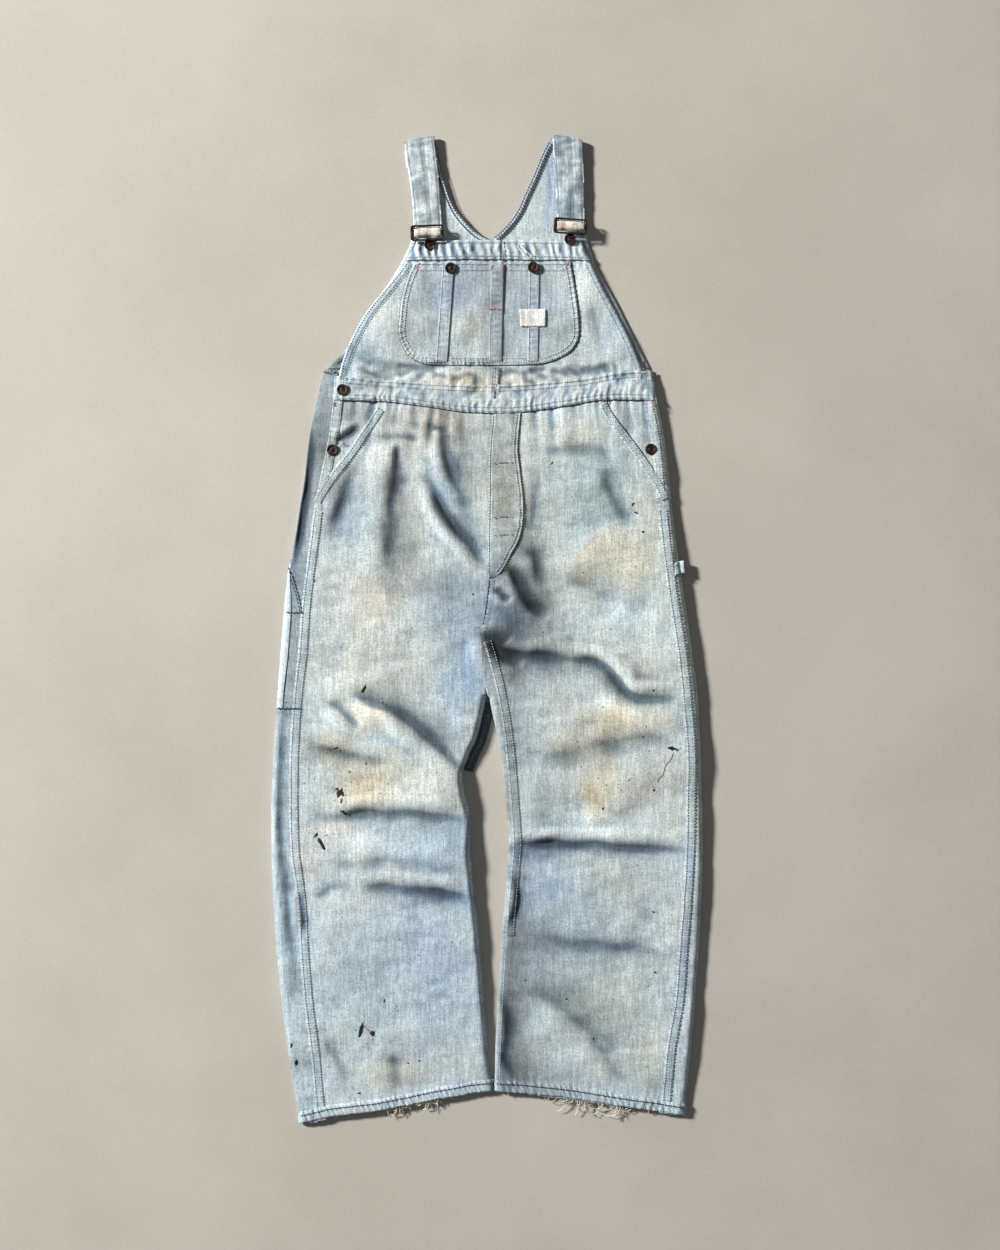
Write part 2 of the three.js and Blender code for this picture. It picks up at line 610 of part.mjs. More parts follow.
// A strap: up from the back bib, folded over at the shoulder, and down over the buckle's middle bar.
// Each place is [y, height of the strap's middle, x of its middle].
function strapSolid(places, tiltTop, tiltEnd) {
  const ends = [places[0][0], places[places.length - 1][0]];
  const faces = [1, -1].map((face) =>
    places.map(([y, z, x], i) => {
      const before = places[Math.max(i - 1, 0)];
      const after = places[Math.min(i + 1, places.length - 1)];
      const dy = after[0] - before[0];
      const dz = after[1] - before[1];
      const length = Math.hypot(dy, dz);
      const half = (face * STRAP_PLY) / 2;
      const tilt = mix(tiltEnd, tiltTop, THREE.MathUtils.clamp((y - 520) / 90, 0, 1));
      const width = mix(STRAP_WIDTH, SHOULDER_WIDTH, THREE.MathUtils.clamp((y - 520) / 90, 0, 1));
      return [-1, 0, 1].map((across) => {
        const dx = (across * width) / 2;
        return [x + dx, y + tilt * dx + (dz / length) * half, z - (dy / length) * half];
      });
    }),
  );
  return solidBetween(faces[0], faces[1]);
}

function strapPlaces(top, shoulder, buckleX, buckleY) {
  const back = 2.7;
  const front = 6.2;
  const middle = (back + front) / 2;
  return [
    [top - 32, back, shoulder - (shoulder - buckleX) * 0.2],
    [top - 2, back, shoulder],
    [top - 0.4, back + 0.7, shoulder],
    [top, middle, shoulder],
    [top - 0.4, front - 0.7, shoulder],
    [top - 2, front, shoulder],
    [mix(top, buckleY, 0.35), front, mix(shoulder, buckleX, 0.5)],
    [mix(top, buckleY, 0.7), front - 0.2, mix(shoulder, buckleX, 0.85)],
    [buckleY + 8.5, front - 0.3, buckleX],
    [buckleY + 5.5, BUCKLE_LEVEL - 1.5, buckleX],
    [buckleY + 3, BUCKLE_LEVEL + 1.7, buckleX],
    [buckleY - 3, BUCKLE_LEVEL + 1.7, buckleX],
    [buckleY - 6, BUCKLE_LEVEL - 1.5, buckleX],
  ];
}
add("strap_left", strapSolid(strapPlaces(635, -87.5, -76.6, 511.5), 0.2, 0.03));
add("strap_right", strapSolid(strapPlaces(637, 104.5, 108.5, 520), -0.2, -0.08));

// A buckle: a flat frame with a thinner middle bar, which the strap goes over.
function buckle(x, y, turn) {
  const cornered = (halfWidth, halfDepth, corner) => {
    const [w, d, c] = [halfWidth, halfDepth, corner];
    return [[-w + c, -d], [w - c, -d], [w, -d + c], [w, d - c], [w - c, d], [-w + c, d], [-w, d - c], [-w, -d + c]];
  };
  const half = [BUCKLE_WIDTH / 2, BUCKLE_DEPTH / 2];
  const slab = (outline, low, high) => prism(outline, BUCKLE_LEVEL + low, BUCKLE_LEVEL + high);
  const hole = cornered(half[0] - BUCKLE_WIRE, half[1] - BUCKLE_WIRE, 1);
  const frame = slab(cornered(...half, 2.4), -BUCKLE_WIRE / 2, BUCKLE_WIRE / 2).subtract(slab(hole, -5, 5));
  const middle = [[-half[0] + 1, -1.2], [half[0] - 1, -1.2], [half[0] - 1, 1.2], [-half[0] + 1, 1.2]];
  const degrees = THREE.MathUtils.radToDeg(turn);
  return frame.add(slab(middle, -BUCKLE_WIRE / 2, 0.2)).rotate([0, 0, degrees]).translate([x, y, 0]);
}
add("buckle_left", buckle(-77.5, 511.5, 0.03), BROWN_METAL, 0.8);
add("buckle_right", buckle(107.5, 520, -0.08), BROWN_METAL, 0.8);

// A tack button: a flat-topped dome on a short foot.
function button(x, y, above) {
  const [radius, height] = [BUTTON_RADIUS, BUTTON_HEIGHT];
  const turns = evenShares(8).map((t) => t * 2 * Math.PI);
  const around = turns.map((turn) => [x + radius * Math.cos(turn), y + radius * Math.sin(turn)]);
  const level = Math.max(...[...around, [x, y]].map(([px, py]) => bodyTop(px, py))) + above;
  const profile = [[0, 0], [radius * 0.8, 0], [radius, height * 0.4], [radius * 0.7, height], [0, height]];
  const geometry = new THREE.LatheGeometry(profile.map(point), 14).rotateX(Math.PI / 2);
  return solidOf(geometry.translate(x, y, level));
}
const ON_COVER = 2 * GAP + 1.15 * CLOTH;
add("strap_button_left", button(-74, 497, ON_COVER), BROWN_METAL, 0.8);
add("strap_button_right", button(107.5, 504, ON_COVER), BROWN_METAL, 0.8);
add("pocket_snap_left", button(-47, 466, 2 * ON_COVER), BROWN_METAL, 0.8);
add("pocket_snap_right", button(60, 467, 2 * ON_COVER), BROWN_METAL, 0.8);
add("side_button_left_upper", button(-187, 309, ON_COVER), BROWN_METAL, 0.8);
add("side_button_left_lower", button(-200, 231, ON_COVER - HIP_DROP), BROWN_METAL, 0.8);
add("side_button_right", button(212, 232, ON_COVER - HIP_DROP), BROWN_METAL, 0.8);

const group = new THREE.Group();
group.add(...meshes);
export default group;
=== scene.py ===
"""Bleached, paint spattered denim dungarees lying flat, face up.

Sizes are in millimetres, in the frame's axes, unless a name or comment says otherwise.
"""

import math

import bpy
import numpy as np
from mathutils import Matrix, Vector


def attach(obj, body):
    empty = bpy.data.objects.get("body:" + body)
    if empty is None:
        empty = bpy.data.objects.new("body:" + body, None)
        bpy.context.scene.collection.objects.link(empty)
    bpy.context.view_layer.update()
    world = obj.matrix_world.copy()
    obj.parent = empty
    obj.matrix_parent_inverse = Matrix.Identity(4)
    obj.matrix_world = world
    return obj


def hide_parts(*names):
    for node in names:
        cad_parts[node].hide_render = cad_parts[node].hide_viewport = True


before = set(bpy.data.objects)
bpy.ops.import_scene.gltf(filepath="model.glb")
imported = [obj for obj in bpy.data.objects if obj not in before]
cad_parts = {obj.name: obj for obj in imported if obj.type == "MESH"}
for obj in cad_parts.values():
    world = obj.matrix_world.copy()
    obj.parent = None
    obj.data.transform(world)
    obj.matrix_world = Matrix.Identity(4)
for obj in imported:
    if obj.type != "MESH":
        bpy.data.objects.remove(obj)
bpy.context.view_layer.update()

MM = 0.001
FOLD = 2.6  # height of the upper face right at a folded edge
ROLL = 9.0  # how far in from a folded edge the cloth reaches its full height
WAIST = 336  # y of the waist, where the legs' cloth ends
BIB_TOP = 503  # y of the bib's top edge
CROTCH_TOP = -90.0  # y where the gap between the legs closes
HALF_X, HALF_Y = 300, 665  # how far the height grid reaches from the origin

# ---------------------------------------------------------------- outlines, from the hems up
OUTER_LEFT = [
    (-243, -642), (-252, -587), (-260, -535), (-268, -470), (-275, -392), (-279, -314), (-280, -236),
    (-277, -158), (-272, -80), (-266, -2), (-260, 63), (-248, 128), (-238, 193), (-229, 258), (-220, 304),
    (-211, 336),
]
INNER_LEFT = [
    (8, -599), (1, -548), (-4, -483), (-10, -405), (-17, -340), (-21, -288), (-21, -245), (-29, -212),
    (-31, -187), (-23, -163), (-12, -138), (-1, -90),
]
INNER_RIGHT = [
    (10, -599), (11, -548), (14, -483), (18, -418), (22, -366), (27, -307), (29, -275), (25, -229),
    (20, -177), (13, -136), (2, -90),
]
OUTER_RIGHT = [
    (256, -631), (262, -574), (267, -522), (272, -457), (277, -379), (280, -301), (279, -223), (277, -145),
    (273, -80), (266, -28), (257, 37), (249, 89), (242, 141), (237, 193), (231, 245), (222, 291), (212, 336),
]
OUTSEAM_LEFT = [
    (-221, -638), (-229, -548), (-237, -483), (-242, -418), (-246, -353), (-254, -288), (-256, -223),
    (-255, -158), (-251, -93), (-244, -28), (-239, 37), (-231, 102), (-222, 167), (-214, 206), (-209, 232),
    (-204, 258), (-200, 297), (-194, 336),
]
OUTSEAM_RIGHT = [
    (237, -629), (244, -548), (255, -483), (260, -418), (265, -353), (269, -288), (270, -223), (270, -158),
    (265, -93), (258, -28), (248, 37), (241, 89), (235, 141), (230, 193), (225, 245), (216, 291), (207, 336),
]
CROTCH = (-9, -5)
CENTRE_FRONT = [CROTCH, (-4, 11), (0, 37), (3, 66), (4, 102), (5, 167), (6, 232), (10, 280), (10, 336)]
LEG_EDGE_AT_CROTCH = [(-3, -75), (-8, -40), CROTCH]
INSEAM_RIGHT = [
    (14, -599), (15, -548), (18, -483), (22, -418), (26, -366), (31, -307), (33, -275), (30, -229),
    (26, -177), (20, -125), (12, -80), (2, -41), (-5, -18),
]
BIB_LEFT = [(-195, 312), (-188, 344), (-176, 375), (-157, 409), (-133, 439), (-108, 471), (-90, 501)]
BIB_RIGHT = [(209, 312), (199, 341), (187, 371), (169, 408), (150, 443), (134, 476), (121, 501)]
BIB_CENTRE = [(10, 297), (12, 345), (15, 420), (18, 503)]
ARMHOLE_LEFT = [
    (-211, 336), (-178, 369), (-152, 414), (-120, 460), (-98, 505), (-96, 544), (-99, 583), (-106, 627),
]
ARMHOLE_RIGHT = [(212, 336), (192, 375), (166, 427), (139, 476), (126, 531), (124, 583), (122, 631)]
NECK_LEFT = [(5, 505), (-12, 514), (-29, 530), (-42, 549), (-52, 574), (-60, 603), (-67, 633)]
NECK_RIGHT = [(5, 505), (21, 519), (38, 540), (49, 564), (60, 588), (72, 617), (84, 638)]
SLANT_LEFT = [(-142, 287), (-159, 261), (-178, 232), (-198, 206), (-214, 184), (-224, 166)]
SLANT_RIGHT = [(155, 294), (166, 274), (186, 248), (205, 222), (222, 196), (236, 170)]
BAND_TOP = [
    (-194, 327), (-146, 322), (-113, 320), (-48, 316), (10, 315), (56, 317), (121, 323), (173, 332),
    (206, 333),
]
BAND_BOTTOM = [
    (-200, 296), (-133, 294), (-74, 287), (-35, 281), (10, 279), (43, 280), (95, 287), (153, 296),
    (217, 295),
]
POCKET_LEFT = [
    (-61, 341), (-84, 344), (-100, 353), (-109, 366), (-114, 382), (-113, 401), (-110, 427), (-103, 453),
    (-94, 474),
]
POCKET_RIGHT = [
    (43, 341), (75, 344), (97, 352), (111, 362), (119, 378), (119, 401), (116, 427), (112, 453), (108, 474),
]
FLY_EDGE = [
    (10, 67), (18, 73), (32, 97), (42, 116), (47, 141), (47, 167), (43, 206), (40, 232), (42, 258),
    (44, 280),
]


# ---------------------------------------------------------------- curves, noise and waves
def bell(value, width, power=2):
    """1 at 0, falling to nothing on both sides past that width."""
    return np.exp(-((value / width) ** power))


def spot(x, y, centre_x, centre_y, radius_x, radius_y, power_x=2, power_y=2):
    """1 at the centre, falling to nothing past those radii."""
    return np.exp(-(((x - centre_x) / radius_x) ** power_x) - ((y - centre_y) / radius_y) ** power_y)


def mix(a, b, t):
    return a + (b - a) * np.asarray(t)


def toward(colours, colour, share):
    """The colours moved towards one colour, by a share at each point."""
    return mix(colours, np.array(colour, float), np.asarray(share)[..., None])


def smooth(points, steps=120):
    """A smooth line through the points, as an array of close points."""
    p = np.array(points, float)
    last = len(p) - 1
    t = np.linspace(0, last, steps + 1)
    i = np.minimum(t.astype(int), last - 1)
    w = (t - i)[:, None]
    a, b, c, d = p[np.maximum(i - 1, 0)], p[i], p[i + 1], p[np.minimum(i + 2, last)]
    u, v = (c - a) / 2, (d - b) / 2
    return (2 * b - 2 * c + u + v) * w**3 + (-3 * b + 3 * c - 2 * u - v) * w**2 + u * w + b


def even(line, step):
    """The same line with points at an even distance."""
    length = np.concatenate([[0], np.cumsum(np.hypot(*np.diff(line, axis=0).T))])
    count = max(int(round(length[-1] / step)), 2)
    s = np.linspace(0, length[-1], count + 1)
    return np.stack([np.interp(s, length, line[:, k]) for k in (0, 1)], axis=1), s


def x_at(line, y):
    return np.interp(y, line[:, 1], line[:, 0])


def between(line, low, high):
    return line[(line[:, 1] >= low) & (line[:, 1] <= high)]


def offset(line, distance):
    """The line moved sideways; a positive distance is to the left, going along."""
    along = np.gradient(line, axis=0)
    along /= np.maximum(np.hypot(along[:, 0], along[:, 1]), 1e-9)[:, None]
    return line + np.stack([-along[:, 1], along[:, 0]], axis=1) * np.asarray(distance).reshape(-1, 1)


def noise(x, y, size_x, size_y, seed, turn=0.0):
    """Soft noise from -1 to 1 with cells of that size, turned by an angle in degrees."""
    table = np.random.RandomState(seed).uniform(-1, 1, (64, 64))
    c, s = math.cos(math.radians(turn)), math.sin(math.radians(turn))
    u = (x * c + y * s) / size_x + 500.3
    v = (y * c - x * s) / size_y + 500.7
    i, j = np.floor(u).astype(int), np.floor(v).astype(int)
    f, g = u - i, v - j
    f, g = f * f * (3 - 2 * f), g * g * (3 - 2 * g)
    i, j, i1, j1 = i % 64, j % 64, (i + 1) % 64, (j + 1) % 64
    low = table[i, j] * (1 - f) + table[i1, j] * f
    high = table[i, j1] * (1 - f) + table[i1, j1] * f
    return low * (1 - g) + high * g


def pucker(s, length, seed):
    """An uneven wave along a seam, from -1 to 1."""
    bend = noise(s, 0 * s, 2.3 * length, 1, seed) * 3.4
    return np.sin(2 * np.pi * s / length + bend) * (0.62 + 0.38 * noise(s, 0 * s, 1.7 * length, 1, seed + 1))


def step_between(value, low, high):
    t = np.clip((value - low) / (high - low), 0, 1)
    return t * t * (3 - 2 * t)


def distance_to(line, x, y):
    """Each point's distance to the line, how far along it the nearest place is, and its side, +1 for left."""
    best = np.full(x.shape, 1e9)
    along = np.zeros(x.shape)
    side = np.ones(x.shape)
    run = 0.0
    for (ax, ay), (bx, by) in zip(line[:-1], line[1:]):
        dx, dy = bx - ax, by - ay
        size = math.hypot(dx, dy)
        t = np.clip(((x - ax) * dx + (y - ay) * dy) / (size * size), 0, 1)
        ex, ey = x - ax - t * dx, y - ay - t * dy
        d = np.hypot(ex, ey)
        near = d < best
        best[near] = d[near]
        along[near] = run + t[near] * size
        side[near] = np.where(dx * ey - dy * ex > 0, 1.0, -1.0)[near]
        run += size
    return best, along, side


outer_left, inner_left = smooth(OUTER_LEFT), smooth(INNER_LEFT)
inner_right, outer_right = smooth(INNER_RIGHT), smooth(OUTER_RIGHT)
outseam_left, outseam_right = smooth(OUTSEAM_LEFT), smooth(OUTSEAM_RIGHT)
crotch_edge, centre_front = smooth(LEG_EDGE_AT_CROTCH, 12), smooth(CENTRE_FRONT, 60)
centre_left = np.vstack([inner_left, crotch_edge, centre_front[1:]])
inseam_right = np.vstack([smooth(INSEAM_RIGHT), centre_front[:1]])
centre_right = np.vstack([inseam_right, centre_front[1:]])
wrap_right = np.vstack([inner_right, crotch_edge, centre_front[1:]])
bib_left, bib_right, bib_centre = smooth(BIB_LEFT, 60), smooth(BIB_RIGHT, 60), smooth(BIB_CENTRE, 30)
armhole_left, armhole_right = smooth(ARMHOLE_LEFT, 80), smooth(ARMHOLE_RIGHT, 80)
neck_left, neck_right = smooth(NECK_LEFT, 60), smooth(NECK_RIGHT, 60)
slant_left, slant_right = smooth(SLANT_LEFT, 40), smooth(SLANT_RIGHT, 40)
band_top, band_bottom = smooth(BAND_TOP, 100), smooth(BAND_BOTTOM, 100)
pocket_left, pocket_right = smooth(POCKET_LEFT, 60), smooth(POCKET_RIGHT, 60)
fly_edge = smooth(FLY_EDGE, 60)
hem_left = np.array([
    (-245.0, -642), (-204, -632), (-152, -626), (-100, -617), (-61, -609), (-22, -602), (9, -599),
])
hem_right = np.array([
    (9.0, -599), (43, -601), (95, -606), (121, -610), (173, -618), (212, -624), (258, -631),
])
bib_top = np.array([(-90.0, 501), (-40, 502.5), (18, 503), (70, 502.5), (121, 501)])
bib_hem_foot = np.array([(-104.0, 477), (-40, 478), (16, 478), (80, 477.5), (134, 477)])

# ---------------------------------------------------------------- the form of the front
# Height of the upper face along the body, from hems to waist.
BODY_HEIGHTS = [
    (-640, 5.6), (-590, 6.2), (-530, 8.2), (-400, 10), (-150, 11), (60, 10.5), (250, 8.5), (330, 7.2),
]
# Creases: half width, depth, ridge beside it, then the points.
CREASES = [
    # left leg
    (11, 3.4, 0.3, (-118, 240), (-120, 167), (-126, 99), (-130, 60)),
    (7, 5.6, 0.5, (-74, 198), (-58, 161), (-36, 126), (-16, 104), (-2, 80)),
    (8, 3.8, 0.4, (-58, 256), (-48, 219), (-36, 184), (-26, 150)),
    (10, 3.6, 0.3, (-168, 212), (-180, 180), (-190, 150), (-199, 116)),
    (8, 1.6, 0.3, (-95, 262), (-60, 252), (-30, 236)),
    (9, 5.6, 0.45, (-176, -80), (-150, -95), (-113, -109), (-74, -138), (-51, -160), (-33, -174)),
    (5, 2.2, 0.5, (-60, -150), (-45, -168), (-31, -184)),
    (7, 2.2, 0.4, (-205, -92), (-185, -108), (-165, -128)),
    (9, 2.6, 0.4, (-237, -148), (-200, -160), (-160, -170), (-126, -177)),
    (8, 4.6, 0.4, (-214, -246), (-165, -240), (-113, -241), (-60, -243), (-19, -247)),
    (12, 2.2, 0.3, (-200, -310), (-120, -303), (-70, -308), (-22, -318)),
    (8, 3.8, 0.4, (-165, -337), (-125, -337), (-87, -340), (-50, -344), (-17, -349)),
    (7, 1.6, 0.3, (-226, -352), (-200, -336), (-165, -332)),
    (6, 2.4, 0.5, (-243, -335), (-238, -365), (-236, -395)),
    (9, 1.6, 0.3, (-125, -548), (-118, -580), (-120, -600)),
    (9, 1.4, 0.3, (-215, -525), (-190, -560), (-175, -590)),
    (5, 5.0, 0.4, (-226, 262), (-230, 215), (-235, 167), (-243, 120), (-250, 77)),
    (5, 1.4, 0.3, (-146, 250), (-115, 249), (-84, 245)),
    (4, 2.0, 0.3, (-117, 241), (-116, 220), (-115, 200)),
    (8, 1.7, 0.3, (45, 106), (62, 92), (67, 76), (66, 58)),
    (11, 1.6, 0.3, (96, 66), (122, 60), (148, 44), (160, 30)),
    (5, 2.6, 0.4, (-164, 268), (-172, 256), (-190, 246), (-200, 240)),
    (4, 2.4, 0.4, (-70, 262), (-60, 258), (-50, 252)),
    (
        6, 1.8, 0.3, (-261, -93), (-265, -158), (-267, -223), (-264, -288), (-258, -353), (-252, -418),
        (-247, -483),
    ),
    # right leg
    (11, 5.0, 0.4, (22, 80), (36, 66), (50, 46), (64, 24), (72, 8)),
    (5, 3.0, 0.4, (10, 52), (18, 44), (26, 32)),
    (11, 5.0, 0.4, (-2, -2), (8, -18), (22, -34), (44, -50)),
    (9, 2.0, 0.3, (59, 105), (69, 76), (77, 50)),
    (9, 4.6, 0.4, (5, -14), (20, -32), (69, -36), (110, -40)),
    (7, 5.2, 0.5, (100, -39), (134, -42), (152, -50), (170, -66), (185, -84), (210, -91), (244, -90)),
    (12, 2.6, 0.3, (240, -148), (205, -142), (160, -152), (120, -160), (60, -170)),
    (7, 4.8, 0.45, (26, -284), (60, -280), (95, -279), (173, -282), (256, -288)),
    (12, 2.6, 0.3, (60, -398), (100, -408), (160, -412), (245, -425)),
    (15, 3.6, 0.3, (53, -463), (121, -509), (163, -561), (190, -590)),
    (6, 1.8, 0.5, (20, -465), (27, -520), (24, -560), (42, -584)),
    (6, 2.4, 0.4, (33, -318), (42, -342), (36, -372), (24, -388)),
    (10, 2.2, 0.3, (69, 229), (114, 235), (147, 229), (163, 213)),
    (10, 2.6, 0.3, (152, 213), (166, 167), (189, 128)),
    (8, 1.5, 0.3, (66, 205), (60, 160), (58, 120)),
    # bib
    (3, 1.3, 0.6, (-124, 345), (-92, 338), (-60, 342), (-30, 335)),
    (3, 1.3, 0.6, (-72, 332), (-44, 325), (-18, 329)),
    (3, 1.3, 0.6, (18, 338), (44, 331), (72, 336), (104, 333)),
    (3, 1.1, 0.6, (-170, 342), (-150, 331), (-128, 326)),
    (3, 1.1, 0.6, (112, 342), (136, 335), (164, 341)),
    (7, 1.5, 0.4, (-150, 352), (-128, 344), (-100, 338), (-60, 334)),
    (5, 1.3, 0.4, (92, 344), (112, 334), (150, 340), (180, 338)),
    (9, 1.2, 0.3, (-178, 372), (-160, 352), (-140, 344)),
    (8, 1.0, 0.3, (132, 430), (146, 390), (152, 350)),
    (5, 1.2, 0.5, (-92, 315), (-84, 306), (-80, 296)),
    (5, 1.2, 0.5, (-20, 334), (-14, 318), (-22, 300)),
    (5, 1.2, 0.5, (46, 336), (52, 322), (70, 312)),
]
# Swells: x, y, radius across, radius along, height.
SWELLS = [
    (-62, -208, 40, 30, 6.0),
    (-50, -296, 38, 26, 3.4),
    (-150, -30, 70, 80, 2.5),
    (-150, -200, 60, 32, 2.4),
    (-75, 60, 36, 60, 3.0),
    (110, -140, 90, 70, 3.0),
    (110, -345, 90, 40, 2.4),
    (105, 60, 60, 50, 2.4),
    (60, -5, 30, 20, 1.6),
    (180, -45, 40, 22, 2.2),
    (120, -560, 90, 26, 1.4),
    (-110, -520, 80, 50, 1.2),
    (-60, 322, 60, 12, 0.8),
    (20, 326, 50, 9, 0.8),
    (-20, 400, 120, 70, 1.2),
]
# Gathers: the line, wavelength, how far they reach from it, height, side (+1 left, -1 right, 0 both), seed.
GATHERS = [
    (outseam_left, 8, 9, 0.30, 0, 1),
    (outseam_right, 8, 9, 0.30, 0, 2),
    (between(inseam_right, -400, -5), 8, 8, 0.30, 0, 3),
    (hem_left, 9, 20, 0.75, 0, 4),
    (hem_right, 9, 20, 0.75, 0, 5),
    (band_bottom, 11, 22, 0.8, -1, 6),
    (band_bottom, 27, 60, 1.7, -1, 7),
    (band_top, 13, 16, 0.8, 0, 8),
    (bib_hem_foot, 10, 11, 1.3, -1, 9),
    (np.vstack([pocket_left[::-1], pocket_right]), 7, 7, 0.25, 0, 10),
    (bib_left, 8, 9, 0.25, 0, 11),
    (bib_right, 8, 9, 0.25, 0, 12),
    (between(centre_front, 0, 280), 8, 7, 0.22, 0, 13),
    (fly_edge, 7, 8, 0.28, 0, 14),
    (slant_left, 7, 8, 0.3, 0, 15),
    (slant_right, 7, 8, 0.3, 0, 16),
]
GRID_X = np.arange(-HALF_X, HALF_X + 1, 1.0)
GRID_Y = np.arange(-HALF_Y, HALF_Y + 1, 1.0)


def near_line(line, reach):
    """The part of the height grid within reach of a line's box, with its x and y."""
    (low_x, low_y), (high_x, high_y) = line.min(axis=0) - reach, line.max(axis=0) + reach
    i = slice(max(int(low_y + HALF_Y), 0), min(int(high_y + HALF_Y + 2), len(GRID_Y)))
    j = slice(max(int(low_x + HALF_X), 0), min(int(high_x + HALF_X + 2), len(GRID_X)))
    x, y = np.meshgrid(GRID_X[j], GRID_Y[i])
    return (i, j), x, y


def blur(grid, radius):
    """Three box blurs along both ways of a grid."""
    size = 2 * radius + 1
    for axis in (0, 1):
        for _ in range(3):
            wide = np.pad(grid, [(radius + 1, radius) if a == axis else (0, 0) for a in (0, 1)], mode="edge")
            total = np.cumsum(wide, axis=axis)
            ahead = np.take(total, np.arange(size, total.shape[axis]), axis=axis)
            behind = np.take(total, np.arange(0, total.shape[axis] - size), axis=axis)
            grid = (ahead - behind) / size
    return grid


def press_creases(heights, fold_shade):
    """Each crease is a trough, sharp on its lit side and soft on the other, with a low ridge beside it; it
    also marks the crease's painted shade, crisp on the lit side and fading away from the light.
    """
    for width, depth, ridge, *points in CREASES:
        line = smooth(points, 6 * len(points))
        full = np.hypot(*np.diff(line, axis=0).T).sum()
        width = 1.35 * width
        place, px, py = near_line(line, 5 * width)
        px = px + 0.30 * width * noise(px, py, 34, 30, int(width + depth * 10))
        py = py + 0.22 * width * noise(px, py, 30, 26, int(width + depth * 20))
        d, along, side = distance_to(line, px, py)
        taper = step_between(np.minimum(along, full - along), -0.08 * full, 0.30 * full)
        taper = taper * (0.85 + 0.3 * noise(along, d, 30, 90, int(width + full)))
        way = line[-1] - line[0]
        lit_side = 1 if 0.9 * way[1] + 0.42 * way[0] < 0 else -1
        q = d * side * lit_side / width
        trough = np.where(q < 0, bell(q, 0.62), 0.55 * bell(q, 0.9) + 0.45 * bell(q, 2.0))
        crest = bell(q + 1.6, 0.85)
        heights[place] -= 1.35 * depth * (trough - ridge * crest) * taper
        # How deep in the fold each place is, for the painted shade along the crease.
        near = bell(q - 0.1, np.where(q < 0.1, 0.6, 1.6))
        fold_shade[place] = np.maximum(fold_shade[place], depth / 5 * near * taper)


def gather_seams(heights):
    """Short waves of gathered cloth along seams, hems and the waistband."""
    for line, length, reach, size, only, seed in GATHERS:
        place, px, py = near_line(line, 2.6 * reach)
        d, along, side = distance_to(line, px, py)
        fade = bell(d, reach, 1.5) * np.where(side * only < 0, np.exp(-d / 2.0), 1.0)
        uneven = 0.7 + 0.5 * noise(px, py, 35, 35, seed + 60)
        heights[place] += size * pucker(along + 0.12 * d * np.sin(along / 37.0), length, seed) * fade * uneven


def make_heights():
    """The upper face away from folded edges, on the grid, and how deep in a fold each place is, which sets
    the painted shade in the creases.
    """
    x, y = np.meshgrid(GRID_X, GRID_Y)
    fold_shade = np.zeros(x.shape)
    heights = np.interp(y, *zip(*BODY_HEIGHTS))
    heights = heights + (6.2 - heights) * step_between(y, 290, 335)
    for cx, cy, rx, ry, high in SWELLS:
        heights += high * spot(x, y, cx, cy, rx, ry)
    press_creases(heights, fold_shade)
    crumple = step_between(y, -660, -560) * (1 - step_between(y, 250, 300))
    on_legs = 0.35 + 0.65 * crumple
    heights += on_legs * (1.5 * noise(x, y, 90, 48, 30, 14) + 0.9 * noise(x, y, 58, 27, 31, 8))
    heights += 0.55 * noise(x, y, 22, 40, 32, -12)
    crushed = bell(y - 330, 17) * step_between(-np.abs(x), -215, -180)
    heights += crushed * (1.5 * noise(x, y, 19, 8, 35, 14) + 1.0 * noise(x, y, 9, 6, 36, -20))
    heights += crumple * (0.34 * noise(x, y, 26, 10, 33, 6) + 0.16 * noise(x, y, 11, 7, 34, -15))
    gather_seams(heights)
    return blur(np.maximum(heights, 4.6), 1), np.clip(fold_shade, 0, 1)


HEIGHTS, FOLD_SHADE_GRID = make_heights()
FINE = HEIGHTS - blur(HEIGHTS, 3)
CAVITY = HEIGHTS - blur(HEIGHTS, 7)
BROAD = HEIGHTS - blur(HEIGHTS, 22)


def spline_weights(f):
    """Quadratic spline weights of a grid's cells before, at and after a place f past the middle one."""
    return ((-1, 0.5 * (0.5 - f) ** 2), (0, 0.75 - f**2), (1, 0.5 * (0.5 + f) ** 2))


def sample(grid, x, y):
    """The grid's value at any place, smoothly."""
    u = np.clip(np.asarray(x, float) + HALF_X, 1, len(GRID_X) - 2.001)
    v = np.clip(np.asarray(y, float) + HALF_Y, 1, len(GRID_Y) - 2.001)
    i, j = np.rint(v).astype(int), np.rint(u).astype(int)
    total = 0
    for a, weight_a in spline_weights(v - i):
        for b, weight_b in spline_weights(u - j):
            total = total + weight_a * weight_b * grid[i + a, j + b]
    return total


def rise(distance, reach=ROLL):
    t = 1 - np.clip(distance / reach, 0, 1)
    return np.sqrt(1 - t * t)


def inside_edge(x, y):
    """Distance in from the nearest folded edge."""
    low = np.clip(y, None, CROTCH_TOP)
    above = np.maximum(y - CROTCH_TOP, 0)
    from_gap = np.maximum(x_at(inner_left, low) - x, x - x_at(inner_right, low))
    inner = np.hypot(np.maximum(from_gap, 0), above)
    outer = np.minimum(x - x_at(outer_left, y), x_at(outer_right, y) - x)
    outer = np.where(y > WAIST, 50.0, outer)
    return np.maximum(np.minimum(inner, outer), 0)


def body_z(x, y):
    """Height of the front's upper face, rolled down at folded edges and at the bib's sides and top."""
    x, y = np.asarray(x, float), np.asarray(y, float)
    full = sample(HEIGHTS, x, y)
    bib_side = np.minimum(x - x_at(bib_left, y), x_at(bib_right, y) - x)
    bib_in = np.minimum(bib_side, BIB_TOP - y)
    full = full + step_between(y, 300, 335) * (rise(np.maximum(bib_in, 0), 22) - 1) * 1.7
    return FOLD + (full - FOLD) * rise(inside_edge(x, y))


def back_z(x, y):
    """Height of the inner face of the back bib, which shows above the bib."""
    wave = 0.5 + 0.5 * noise(x, y, 16, 70, 41, -8)
    return 1.5 + 1.2 * wave * step_between(y, 500, 530)


